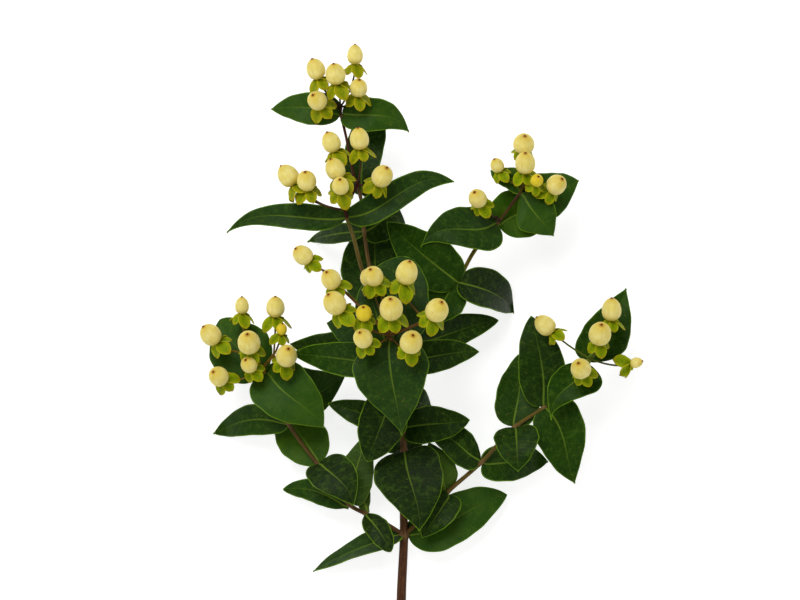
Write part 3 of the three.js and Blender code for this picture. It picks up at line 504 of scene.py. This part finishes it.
def sheet_faces(rows, columns):
    """Faces of a thin sheet: its top, its underside and the rim between them, with their slots."""
    under = rows * columns
    faces, slots = [], []
    for row in range(rows - 1):
        for column in range(columns - 1):
            near = row * columns + column
            far = near + columns
            faces.append((near, near + 1, far + 1, far))
            faces.append((near + under, far + under, far + 1 + under, near + 1 + under))
            slots += [0, 1]
    grid = np.arange(under).reshape(rows, columns)
    rim = np.concatenate([grid[0], grid[1:-1, -1], grid[-1, ::-1], grid[-2:0:-1, 0]]).tolist()
    for here, there in zip(rim, rim[1:] + rim[:1]):
        faces.append((here, there, there + under, here + under))
        slots.append(0)
    return faces, slots


# ---- Stems ----

def stem_points(rows):
    return np.array([row[:3] for row in rows], float)


def find_nodes():
    """Where leaves and heads grow: each node's point, its stem's direction there and its radius."""
    nodes = {}
    for rows in STEMS.values():
        points = stem_points(rows)
        for index, row in enumerate(rows):
            if len(row) > 4:
                along = spline_direction(points, index / (len(rows) - 1))
                nodes[row[4]] = dict(point=points[index], along=along, radius=row[3] / 2 * NODE_SWELL)
    return nodes


def stem_stations(rows):
    """Shares along a stem: its rows, and points a small step apart between them."""
    points = stem_points(rows)
    shares = []
    for index in range(len(rows) - 1):
        spans = max(3, round(np.linalg.norm(points[index + 1] - points[index]) / STEM_STEP))
        shares += [(index + step / spans) / (len(rows) - 1) for step in range(spans)]
    return np.array(shares + [1.0])


def node_nearness(rows, shares, lengths):
    """1 at each node along a stem, and 0 away from them."""
    nearness = np.zeros(len(shares))
    for index, row in enumerate(rows):
        if len(row) > 4:
            place = np.interp(index / (len(rows) - 1), shares, lengths)
            nearness = np.maximum(nearness, bell(lengths - place, NODE_LENGTH))
    return nearness


def bark_along(tones, shares, nearness):
    """A stem's colour along it, paler at its nodes."""
    foot, middle, top = tones
    lower = blended(foot, middle, smooth(shares, BARK_START, BARK_MIDDLE))
    upper = blended(middle, top, smooth(shares, BARK_MIDDLE, 1))
    bark = np.where((shares < BARK_MIDDLE)[:, None], lower, upper)
    paling = NODE_PALING * nearness[:, None]
    return bark * (1 - paling) + np.array(srgb(*NODE_TONE)) * paling


def add_stem(shape, rows, tones, seed):
    points = stem_points(rows)
    shares = stem_stations(rows)
    middles = np.array([spline_point(points, share) for share in shares])
    lengths = np.concatenate([[0], np.cumsum(np.linalg.norm(np.diff(middles, axis=0), axis=1))])
    frames = ring_frames([spline_direction(points, share) for share in shares], UP)
    nearness = node_nearness(rows, shares, lengths)
    radii = np.interp(shares * (len(rows) - 1), range(len(rows)), [row[3] / 2 for row in rows])
    radii = radii * (1 + (NODE_SWELL - 1) * nearness)
    bark = bark_along(tones, shares, nearness)
    add_wood(shape, middles, frames, radii, bark, lengths, STEM_SIDES, seed, foot_slot=1)


# ---- Leaves ----

def half_width(share, leaf):
    """Half of a leaf's width at a share of its length: an egg shape, broad near its foot."""
    def egg(place):
        return place ** FOOT_FLARE * (1 - place) ** leaf["taper"]
    widest = FOOT_FLARE / (FOOT_FLARE + leaf["taper"])
    blade = leaf["width"] / 2 * egg(share) / egg(widest)
    return np.maximum(blade, LEAF_FOOT / 2 * (1 - share) ** 2 + LEAF_POINT / 2 * share)


def leaf_frame(leaf, node):
    """A leaf's own directions: along its midrib, across its blade, and out of its upper face."""
    tip = np.array(leaf["tip"], float)
    heading = tip - node["point"]
    heading[2] = 0
    flank = unit(np.cross(node["along"], UP))
    if flank @ heading < 0:
        flank = -flank
    lift, roll = math.radians(leaf["lift"]), math.radians(leaf["roll"])
    out = math.cos(lift) * flank + math.sin(lift) * UP
    rough = unit(tip - node["point"])
    level = unit(np.cross(UP, rough))
    side = math.cos(roll) * level + math.sin(roll) * np.cross(rough, level)
    face = np.cross(rough, side)
    reach = abs(side @ out) * LEAF_FOOT / 2 + abs(face @ out) * BLADE / 2
    foot = node["point"] + out * (node["radius"] + GAP + reach)
    return dict(foot=foot, side=side, face=face, out=out, along=tip - foot)


def blade_points(leaf, frame, share, across, seed):
    """The middle of the blade's thickness at shares of the way along, and from -1 to 1 across."""
    half = half_width(share, leaf)
    for part, turns in UNEVEN:
        half = half * (1 + part * np.sin(turns * share + seed + UNEVEN_LAG * np.sign(across)))
    bow = 4 * share * (1 - share)
    lobe = (leaf["lobe"] + leaf["slant"] * across) * np.abs(across)
    reach_back = lobe * LOBE_PEAK * share ** FOOT_FLARE * (1 - share) ** LOBE_FADE
    fold = math.radians(leaf["fold"]) * bow
    ripple = np.sin(share * WAVE_ALONG + across * WAVE_ACROSS) * leaf["wave"] * across ** 2
    rise = np.abs(across) * half * np.sin(fold) + ripple * bow
    sideways = leaf["sway"] * bow + leaf["hook"] * HOOK_PEAK * share ** 2 * (1 - share)
    inward = ROOT_REACH * np.clip(1 - share / ROOT_SHARE, 0, 1)
    along = share[..., None] * frame["along"] - reach_back[..., None] * unit(frame["along"])
    sideways = (across * half * np.cos(fold) + sideways)[..., None] * frame["side"]
    upward = (leaf["arch"] * bow + rise)[..., None] * frame["face"]
    return frame["foot"] + along + sideways + upward - inward[..., None] * frame["out"]


def vein_phase(share, across, seed):
    """Grows by 1 from one side vein to the next, and is a whole number and a half on each."""
    climb = VEIN_SLOPE * np.abs(across) ** VEIN_BOW * (1 - share)
    stagger = VEIN_STAGGER * np.sin(seed + 3 * share) * np.sign(across)
    return VEIN_PAIRS * (share - climb) + VEIN_START + stagger


def leaf_shape(name, leaf, frame, seed):
    """The blade, with its midrib and side veins sunk in its upper face and raised on its lower face."""
    shares = (1 - np.cos(np.linspace(0, math.pi, BLADE_ROWS + 1))) / 2
    share, across = np.meshgrid(shares, across_places(BLADE_COLUMNS), indexing="ij")
    length = np.linalg.norm(frame["along"])
    half = half_width(share, leaf)
    off_midrib = across * half
    margin = np.minimum((1 - np.abs(across)) * half, (1 - share) * length)
    phase = vein_phase(share, across, seed)
    spacing = length / VEIN_PAIRS
    off_vein = np.abs(phase % 1 - 0.5) * spacing
    midrib = bell(off_midrib, MIDRIB_WIDTH) * (1 - MIDRIB_TAPER * share) * smooth(1 - share, 0, VEIN_FADE)
    veins = bell(off_vein, VEIN_WIDTH) * smooth(margin, *VEIN_RISE) * smooth(share, 0, VEIN_FADE)
    sunk = MIDRIB_GROOVE * midrib + VEIN_GROOVE * veins
    raised = MIDRIB_RIDGE * midrib + VEIN_GROOVE * veins
    faces, slots = sheet_faces(*share.shape)
    above, below = -sunk, raised
    if name in TURNED_LEAVES:
        above, below = raised, -sunk
        slots = [1 - slot for slot in slots]
    grid = blade_points(leaf, frame, share, across, seed)
    normals = sheet_normals(grid, frame["face"])
    thickness = BLADE_EDGE + (BLADE_MIDDLE - BLADE_EDGE) * smooth(margin, 0, EDGE_WIDTH)
    top = grid + normals * (thickness + above)[..., None]
    bottom = grid - normals * (thickness + below)[..., None]
    # A leaf that reaches the surface lies flat on it.
    top[..., 2] = np.maximum(top[..., 2], 2 * BLADE_MIDDLE)
    bottom[..., 2] = np.maximum(bottom[..., 2], 0)
    shape = Shape()
    # A leaf's tone is partly its own green and partly painted light and shade, from its listed group of
    # greens.
    shape.add(
        sheet_points(top, bottom), faces, slots,
        blade=both_faces(across, share, margin),
        place=both_faces(off_midrib, share * length, np.full_like(share, seed)),
        vein=both_faces(phase, np.full_like(share, spacing), off_vein),
        tone=repeated(LEAF_TONES_AND_SHADES.get(name, LEAF_GREEN), 2 * share.size),
    )
    return shape


# ---- Berry heads ----

def berry_axis(length, tip_x, tip_y):
    half = length / 2
    up = math.sqrt(max(half * half - tip_x * tip_x - tip_y * tip_y, 0))
    return unit(np.array([tip_x, tip_y, up]))


def turned_to(axis):
    """The rotation that takes +Y to a berry's axis, as rows to multiply points by."""
    turn = Vector((0, 1, 0)).rotation_difference(Vector(axis.tolist()))
    return np.array(turn.to_matrix()).T


def berry_profile(style):
    """Shares of a berry's length and of its radius, from its foot to the end of its style."""
    angles = np.linspace(BERRY_START, 1, BERRY_RINGS) * math.pi
    heights = (1 - np.cos(angles)) / 2
    below = np.clip((BERRY_WAIST - heights) / BERRY_WAIST, 0, 1)
    above = np.clip((heights - BERRY_WAIST) / (1 - BERRY_WAIST), 0, 1)
    lower = (1 - below ** BERRY_BELOW[0]) ** BERRY_BELOW[1]
    upper = (1 - above ** BERRY_ABOVE[0]) ** BERRY_ABOVE[1]
    radii = np.where(heights < BERRY_WAIST, lower, upper)
    body = radii > style * STYLE_EDGE
    bulb = np.array(STYLE_RINGS)
    return (
        np.concatenate([heights[body] * BERRY_BODY, bulb[:, 0]]),
        np.concatenate([radii[body], bulb[:, 1] * style]),
    )


def add_berry(shape, foot, turn, width, length, colour, seed):
    heights, radii = berry_profile(STYLE_WIDTH / width)
    angles = np.arange(BERRY_SIDES) * 2 * math.pi / BERRY_SIDES
    lumps = 1 + sum(part * np.sin(count * angles + spin * seed) for part, count, spin in BERRY_LUMPS)
    rings = []
    for height, radius in zip(heights * length, radii * width * BERRY_HALF):
        level = np.full_like(angles, height)
        rings.append(np.stack([radius * lumps * np.cos(angles), level, radius * lumps * np.sin(angles)], 1))
    points = np.concatenate(rings) @ turn + foot
    skin = tube_values(heights, BERRY_SIDES, seed)
    shape.add(points, tube_faces(len(heights), BERRY_SIDES), tone=repeated(colour, len(points)), skin=skin)


def sepal_outline(places):
    """Half of a sepal's width along it, as a share of its widest: a broad tongue with a blunt point."""
    tongue = np.sin(math.pi * np.clip(places, 0, 1) ** SEPAL_ROUNDING[0]) ** SEPAL_ROUNDING[1]
    return np.maximum(tongue, SEPAL_FOOT[0] * (1 - places / SEPAL_FOOT[1]).clip(0) + SEPAL_POINT)


def add_sepal(shape, foot, turn, angle, reach, lean, colour, seed):
    places = np.linspace(0, 1, SEPAL_ROWS + 1) ** SEPAL_CROWDING
    place, across = np.meshgrid(places, across_places(SEPAL_COLUMNS), indexing="ij")
    start, end = SEPAL_BEND
    bends = np.radians(start + (end - start + lean) * places)
    steps = np.diff(places, prepend=0) * reach
    outward = np.cumsum(steps * np.sin(bends))[:, None] * np.ones_like(across)
    drop = np.cumsum(steps * np.cos(bends))[:, None] + SEPAL_DROP
    half = sepal_outline(place) * reach * SEPAL_WIDTH / 2
    aside = across * half
    cup = SEPAL_CUP * across ** 2 * np.sin(math.pi * place) + SEPAL_TWIST * across * (1 - place)
    lift = reach * (cup + SEPAL_RIPPLE * np.sin(7 * place + 3 * across + seed))
    radial = np.array([math.cos(angle), 0, math.sin(angle)])
    tangent = np.array([-math.sin(angle), 0, math.cos(angle)])
    grid = outward[..., None] * radial + aside[..., None] * tangent
    grid[..., 1] += lift - drop
    thickness = SEPAL_HALF * sheet_normals(grid, radial * 0.5 + np.array([0, 1, 0]))
    points = sheet_points(grid + thickness, grid - thickness) @ turn + foot
    margin = np.minimum((1 - np.abs(across)) * half, (1 - place) * reach)
    faces, _ = sheet_faces(*place.shape)
    shape.add(
        points, faces, tone=repeated(colour, len(points)), blade=both_faces(across, place, margin),
        place=both_faces(aside, place * reach, np.full_like(aside, seed)),
    )


def add_calyx(shape, foot, turn, length, colour, seed):
    """The sepals round a berry's foot, which differ in length and bend."""
    for count in range(SEPAL_COUNT):
        reach = length * (1 + SEPAL_VARIETY * math.sin(seed + count * SEPAL_TURN))
        angle = count * 2 * math.pi / SEPAL_COUNT
        lean = SEPAL_LEAN * math.sin(3 * seed + 5 * count)
        add_sepal(shape, foot, turn, angle, reach, lean, colour, seed + count)


def add_twig(shape, middles, directions, up, width, swells, tones):
    """A thin stem that swells at its foot and at its end."""
    shares = np.linspace(0, 1, STALK_STEPS + 1)
    length = np.linalg.norm(middles[-1] - middles[0])
    (foot_growth, foot_reach), (end_growth, end_reach) = swells
    swell = foot_growth * bell(shares * length, foot_reach)
    swell = swell + end_growth * bell((1 - shares) * length, end_reach)
    frames, radii = ring_frames(directions, up), width / 2 * (1 + swell)
    add_wood(shape, middles, frames, radii, blended(*tones, shares), shares * length, STALK_SIDES)


def add_stalk(shape, fork, end, axis, tones):
    """A stalk that bends into line with its berry."""
    bend = end - axis * STALK_BEND * np.linalg.norm(end - fork)
    shares = np.linspace(0, 1, STALK_STEPS + 1)
    middles = [(1 - t) ** 2 * fork + 2 * t * (1 - t) * bend + t * t * end for t in shares]
    directions = [unit((1 - t) * (bend - fork) + t * (end - bend)) for t in shares]
    add_twig(shape, middles, directions, UP + STALK_TILT * axis, STALK_WIDTH, STALK_SWELLS, tones)


def add_fork_stem(shape, start, end, tone):
    middles = [(1 - t) * start + t * end for t in np.linspace(0, 1, STALK_STEPS + 1)]
    directions = [unit(end - start)] * len(middles)
    add_twig(shape, middles, directions, FORK_UP, FORK_WIDTH, FORK_SWELLS, (tone, tone))


def head_shapes(name, head, node):
    """A head's berries, its sepals and its stalks, each as one shape."""
    berries, sepals, stalks = Shape(), Shape(), Shape()
    forks = [np.array(fork, float) for fork in head["forks"]]
    start = np.array(head["foot"], float) if "foot" in head else node["point"]
    tones = STALK_TONES[name]
    add_fork_stem(stalks, start, forks[0], tones[0])
    for fork in forks[1:]:
        add_fork_stem(stalks, forks[0], fork, tones[0])
    sepal_tone = SEPAL_WARM if name in WARM_HEADS else SEPAL_TONE
    for index, row in enumerate(head["berries"]):
        x, y, z, width, length, tip_x, tip_y, sepal, fork = row
        axis = berry_axis(length, tip_x, tip_y)
        foot = np.array([x, y, z]) - axis * length / 2
        turn = turned_to(axis)
        seed = index * SEPAL_TURN
        colour = YOUNG_YELLOW if (name, index) in YOUNG_BERRIES else CREAM
        add_berry(berries, foot, turn, width, length, colour, seed)
        add_calyx(sepals, foot, turn, sepal, sepal_tone, seed)
        add_stalk(stalks, forks[fork - 1], foot - STALK_SINK * axis, axis, tones)
    return berries, sepals, stalks


# ---- Materials ----

class Field:
    """A value over a material's surface, which can be reckoned with as a number can."""

    def __init__(self, shader, socket):
        self.shader = shader
        self.socket = socket

    def math(self, operation, other=0.0):
        return self.shader.node("Math", 0, [(0, self), (1, other)], operation=operation)

    __add__ = partialmethod(math, "ADD")
    __sub__ = partialmethod(math, "SUBTRACT")
    __mul__ = partialmethod(math, "MULTIPLY")
    __truediv__ = partialmethod(math, "DIVIDE")
    __abs__ = partialmethod(math, "ABSOLUTE")

    def split(self):
        """Its x, y and z."""
        first = self.shader.node("SeparateXYZ", 0, [(0, self)])
        return [Field(self.shader, socket) for socket in first.socket.node.outputs]

    def step(self, low, high, start=0.0, end=1.0):
        """A smooth step: start where the field is low or less, end where it is high or more."""
        inputs = [(0, self), (1, low), (2, high), (3, start), (4, end)]
        return self.shader.node("MapRange", 0, inputs, interpolation_type="SMOOTHSTEP")

    def noise(self, scale, detail=3.0, roughness=0.5):
        inputs = [("Vector", self), ("Scale", scale), ("Detail", detail), ("Roughness", roughness)]
        return self.shader.node("TexNoise", 0, inputs)

    def cells(self, scale):
        """Distance from the nearest edge of a network of small cells."""
        inputs = [("Vector", self), ("Scale", scale)]
        return self.shader.node("TexVoronoi", "Distance", inputs, feature="DISTANCE_TO_EDGE")


class Shader:
    """A material being made, whose colours are laid over each other."""

    def __init__(self, name, specular, **surface):
        self.material = bpy.data.materials.new(name)
        self.material.use_nodes = True
        self.nodes = self.material.node_tree.nodes
        self.links = self.material.node_tree.links
        self.surface = self.nodes["Principled BSDF"]
        self.paint = None
        self.feed(self.surface.inputs["Specular IOR Level"], specular)
        for socket, value in surface.items():
            self.feed(self.surface.inputs[socket.replace("_", " ")], value)

    def feed(self, socket, value):
        if isinstance(value, Field):
            self.links.new(value.socket, socket)
        else:
            socket.default_value = value

    def node(self, kind, output, inputs=(), **settings):
        """Adds a node and gives one of its outputs."""
        node = self.nodes.new("ShaderNode" + kind)
        for name, value in settings.items():
            setattr(node, name, value)
        for socket, value in inputs:
            self.feed(node.inputs[socket], value)
        return Field(self, node.outputs[output])

    def held(self, name, output="Vector"):
        """What the mesh holds under a name at each of its points."""
        return self.node("Attribute", output, attribute_name=name)

    def join(self, x, y, z):
        return self.node("CombineXYZ", 0, [(0, x), (1, y), (2, z)])

    def around(self, turn, radius, height):
        """A place on a round piece, so that a pattern meets itself after a whole turn."""
        angle = turn * (2 * math.pi)
        return self.join(angle.math("COSINE") * radius, angle.math("SINE") * radius, height)

    def lay(self, amount, colour, blend):
        """Mixes a colour into the paint, which starts as the tone the mesh holds; a leaf's tone is partly
        painted light and shade.
        """
        paint = self.paint or self.held("tone", "Color")
        inputs = [(0, amount), (6, paint), (7, colour)]
        self.paint = self.node("Mix", 2, inputs, data_type="RGBA", blend_type=blend)

    def over(self, amount, *colour):
        self.lay(amount, srgb(*colour), "MIX")

    def tint(self, amount, *factors):
        self.lay(amount, (*factors, 1), "MULTIPLY")

    def finish(self, roughness, height, depth):
        """Joins paint, roughness and a bump, whose height is in units of depth in millimetres."""
        bump = self.node("Bump", 0, [("Height", height), ("Distance", depth * MM), ("Strength", 1.0)])
        for socket, value in (("Base Color", self.paint), ("Roughness", roughness), ("Normal", bump)):
            self.feed(self.surface.inputs[socket], value)
        return self.material


def vein_lines(shader, width):
    """1 on a leaf's side veins and 0 between them."""
    phase, spacing, _ = shader.held("vein").split()
    return (abs(phase.math("FRACT") - 0.5) * spacing).step(0, width, 1, 0)


def midrib_line(share, off_midrib, width):
    """1 on a leaf's midrib, which narrows towards the tip."""
    return (abs(off_midrib) / share.step(0, 1, width, width * 0.25)).step(0.4, 1, 1, 0)


def leaf_upper():
    """Deep satin green, with a lime midrib and margin, faint side veins, mottling and a few specks."""
    shader = Shader("leaf_upper", 0.07)
    _, share, margin = shader.held("blade").split()
    place = shader.held("place")
    clouds, grain = place.noise(0.16, 2), place.noise(1.3, 4)
    veins = vein_lines(shader, 0.45)
    midrib = midrib_line(share, place.split()[0], 0.62)
    rim = margin.step(0.12, 0.62, 0.9, 0) * clouds.step(0.3, 0.65, 0.5, 1)
    shader.tint(clouds.step(0.35, 0.65), 0.6, 0.78, 0.7)
    shader.over(place.noise(0.42, 4, 0.6).step(0.48, 0.72, 0, 0.42), 68, 98, 24)
    shader.over(grain.step(0.35, 0.75, 0, 0.2), 60, 94, 14)
    shader.over(veins * 0.12, 84, 116, 20)
    shader.over(place.cells(0.8).step(0, 0.12, 0.06, 0), 84, 112, 20)
    shader.over(midrib * share.step(0.05, 0.9, 0.75, 0.2), 104, 130, 36)
    shader.over(rim, 104, 140, 26)
    shader.over(place.noise(0.75, 1).step(0.71, 0.76, 0, 0.3), 122, 104, 52)
    return shader.finish(grain.step(0.2, 0.8, 0.4, 0.54), grain * 0.5 - veins * 0.6 - midrib, 0.06)


def leaf_lower():
    """Paler, duller green, with its midrib and side veins standing out in yellow green."""
    shader = Shader("leaf_lower", 0.12)
    _, share, margin = shader.held("blade").split()
    place = shader.held("place")
    grain = place.noise(1.1, 4)
    veins = vein_lines(shader, 0.5)
    midrib = midrib_line(share, place.split()[0], 0.75)
    shader.over(0.3, 74, 102, 34)
    shader.over(grain.step(0.3, 0.75, 0, 0.3), 76, 106, 30)
    shader.over(veins * 0.2, 104, 128, 44)
    shader.over(place.cells(0.8).step(0, 0.12, 0.12, 0), 104, 128, 48)
    shader.over(midrib * 0.7, 122, 140, 44)
    shader.over(margin.step(0.12, 0.5, 0.5, 0), 112, 136, 36)
    return shader.finish(grain.step(0.2, 0.8, 0.5, 0.62), veins * 0.5 + grain * 0.4, 0.1)


def berry_skin():
    """Waxy cream with paler, whiter patches that are partly mottling and partly painted highlight, yellower
    at its foot and round the brown remnant of the style, with three faint seams.
    """
    shader = Shader(
        "berry_skin", 0.1, Subsurface_Weight=0.12, Subsurface_Scale=2 * MM,
        Subsurface_Radius=(1.0, 0.7, 0.3),
    )
    turn, height, seed = shader.held("skin").split()
    place = shader.around(turn, 1, height * 3 + seed)
    clouds = place.noise(1.4, 3)
    ribs = shader.around(turn, 5, height + seed).noise(1.5, 3)
    seams = abs((turn * 3 + seed).math("FRACT") - 0.5).step(0, 0.03, 0.34, 0)
    # Paler, whiter patches where the clouds are high: partly mottling of the skin and partly painted
    # highlight.
    shader.tint(clouds.step(0.3, 0.65, 0, 0.8), 1.08, 1.13, 1.8)
    shader.over(ribs.step(0.5, 0.7, 0, 0.3), 208, 184, 84)
    shader.over(height.step(0.02, 0.4, 0.75, 0), 200, 178, 62)
    shader.over(height.step(0.66, 0.94, 0, 0.6), 214, 186, 46)
    shader.over(seams * height.step(0.35, 0.9), 196, 168, 84)
    shader.over(height.step(0.915, 0.966, 0, 0.85), 180, 114, 14)
    shader.over(height.step(0.952, 0.968), 92, 42, 4)
    return shader.finish(clouds.step(0.2, 0.8, 0.36, 0.48), place.noise(14, 2), 0.04)


def sepal_skin():
    """Lime green with a lighter yellow margin and a darker green middle."""
    shader = Shader("sepal_skin", 0.05)
    across, share, margin = shader.held("blade").split()
    grain = shader.held("place").noise(0.9, 3)
    strands = abs((across * 9).math("SINE"))
    shader.over(abs(across).step(0.1, 0.75, 0.65, 0), 84, 114, 0)
    shader.over(grain.step(0.35, 0.7, 0, 0.45), 154, 164, 8)
    shader.over(strands.step(0, 0.25, 0.18, 0), 172, 178, 40)
    shader.over(margin.step(0.1, 0.6, 0.65, 0), 190, 184, 26)
    shader.over(share.step(0.72, 1, 0, 0.5), 176, 148, 22)
    return shader.finish(grain.step(0.2, 0.8, 0.45, 0.58), grain + strands * 0.6, 0.08)


def bark_skin(name, streak_depth):
    """Bark in the stem's own tone, streaked along it, with pale pores."""
    shader = Shader(name, 0.14)
    turn, length, seed = shader.held("wood").split()
    streaks = shader.around(turn, 2.2, length * 0.12 + seed).noise(1.6, 4, 0.6)
    pores = shader.join(turn * 12, length * 0.9, seed).noise(1, 1)
    shader.tint(streaks.step(0.35, 0.65, 0.75, 0), 0.42, 0.34, 0.3)
    shader.over(streaks.step(0.55, 0.8, 0, 0.35), 146, 104, 62)
    shader.over(pores.step(0.7, 0.76, 0, 0.35), 156, 124, 84)
    return shader.finish(streaks.step(0.2, 0.8, 0.5, 0.7), streaks, streak_depth)


def pith_skin():
    """The cut end: pale wood with a faint grain."""
    shader = Shader("cut_wood", 0.2)
    grain = shader.node("TexCoord", "Object").noise(900, 3)
    shader.paint = srgb(*PITH_TONE)
    shader.over(grain.step(0.35, 0.7), 158, 150, 92)
    return shader.finish(grain.step(0.2, 0.8, 0.6, 0.8), grain, 0.1)


# ---- The branch ----

def build_stem():
    shape = Shape()
    for number, (name, rows) in enumerate(STEMS.items()):
        add_stem(shape, rows, BARK_TONES[name], STEM_SEED * number)
    shape.piece("branch_wood", "stem", "bark", [bark_skin("bark", 0.25), pith_skin()])


def build_leaves(nodes):
    faces = [leaf_upper(), leaf_lower()]
    for number, (name, leaf) in enumerate(LEAVES.items()):
        node = nodes[leaf["at"] or name.rsplit("_", 1)[0]]
        shape = leaf_shape(name, leaf, leaf_frame(leaf, node), LEAF_SEED * number)
        shape.piece(f"blade_{name}", f"leaf_{name}", "leaf", faces)


def build_heads(nodes):
    fruit, calyx, twig = berry_skin(), sepal_skin(), bark_skin("stalk_skin", 0.1)
    for name, head in HEADS.items():
        berries, sepals, stalks = head_shapes(name, head, nodes[head.get("at", f"{name}_head")])
        node = f"berries_{name}"
        berries.piece(f"fruit_{name}", node, "berry", [fruit])
        sepals.piece(f"sepals_{name}", node, "berry", [calyx])
        stalks.piece(f"stalks_{name}", node, "berry", [twig])


# ---- The scene, in metres ----

FLOOR_SIZE = 8
FLOOR_DROP = 0.0001  # below the branch, so that the two don't share a surface
FLOOR_GREY = (0.5, 0.5, 0.5, 1)
FLOOR_GLOW = 0.78
SKY_HEIGHTS = (0.1, 0.75)  # sines of the heights over which the surround darkens
SKY_LIGHT = (0.3, 0.06)  # its strength below and above them
# Soft square lights: degrees round from +X and above the floor, watts and width.
LIGHTS = {
    "key": (115, 58, 30, 1.1),
    "left": (190, 40, 9, 1.2),
    "right": (-10, 40, 9, 1.2),
    "front": (265, 42, 6, 1.2),
}
LIGHT_DISTANCE = 2.2
CAMERA_HEIGHT = 4.045
LENS = 400  # mm: with SENSOR, 800 pixels are 360 mm wide at mid height
SENSOR = 36  # mm


def add_floor():
    bpy.ops.mesh.primitive_plane_add(size=FLOOR_SIZE, location=(0, 0, -FLOOR_DROP))
    floor = bpy.context.object
    floor.name = "floor"
    shader = Shader(
        "floor_white", 0.0, Roughness=1.0, Base_Color=FLOOR_GREY,
        Emission_Color=(1, 1, 1, 1), Emission_Strength=FLOOR_GLOW,
    )
    floor.data.materials.append(shader.material)


def add_light(name, azimuth, elevation, energy, size):
    data = bpy.data.lights.new(name, "AREA")
    data.energy = energy
    data.size = size
    light = bpy.data.objects.new(name, data)
    turn, rise = math.radians(azimuth), math.radians(elevation)
    level = LIGHT_DISTANCE * math.cos(rise)
    place = Vector((level * math.cos(turn), level * math.sin(turn), LIGHT_DISTANCE * math.sin(rise)))
    light.location = place
    light.rotation_euler = (-place).to_track_quat("-Z", "Y").to_euler()
    bpy.context.scene.collection.objects.link(light)


def add_world():
    """A pale surround that darkens overhead, so that level leaves stay deep green."""
    world = bpy.data.worlds.new("studio")
    world.use_nodes = True
    nodes, links = world.node_tree.nodes, world.node_tree.links
    place = nodes.new("ShaderNodeTexCoord")
    split = nodes.new("ShaderNodeSeparateXYZ")
    ramp = nodes.new("ShaderNodeMapRange")
    for socket, value in enumerate((*SKY_HEIGHTS, *SKY_LIGHT), 1):
        ramp.inputs[socket].default_value = value
    links.new(place.outputs["Generated"], split.inputs[0])
    links.new(split.outputs[2], ramp.inputs[0])
    links.new(ramp.outputs[0], nodes["Background"].inputs["Color"])
    bpy.context.scene.world = world


def add_camera():
    """Straight above the branch, with a long lens."""
    data = bpy.data.cameras.new("camera")
    data.lens = LENS
    data.sensor_width = SENSOR
    camera = bpy.data.objects.new("camera", data)
    camera.location = (-MIDDLE[0] * MM, -MIDDLE[1] * MM, CAMERA_HEIGHT)
    bpy.context.scene.collection.objects.link(camera)
    bpy.context.scene.camera = camera


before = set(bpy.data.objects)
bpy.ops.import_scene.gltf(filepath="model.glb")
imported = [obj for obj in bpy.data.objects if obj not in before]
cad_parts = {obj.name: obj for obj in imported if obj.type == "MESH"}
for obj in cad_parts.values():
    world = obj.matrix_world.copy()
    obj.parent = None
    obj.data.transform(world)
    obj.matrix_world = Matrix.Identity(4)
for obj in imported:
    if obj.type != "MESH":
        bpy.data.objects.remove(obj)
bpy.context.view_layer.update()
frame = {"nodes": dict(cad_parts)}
add_camera()
add_floor()
add_world()
for name, light in LIGHTS.items():
    add_light(name, *light)
bpy.context.scene.view_settings.view_transform = "Standard"
build_stem()
growth_nodes = find_nodes()
build_leaves(growth_nodes)
build_heads(growth_nodes)
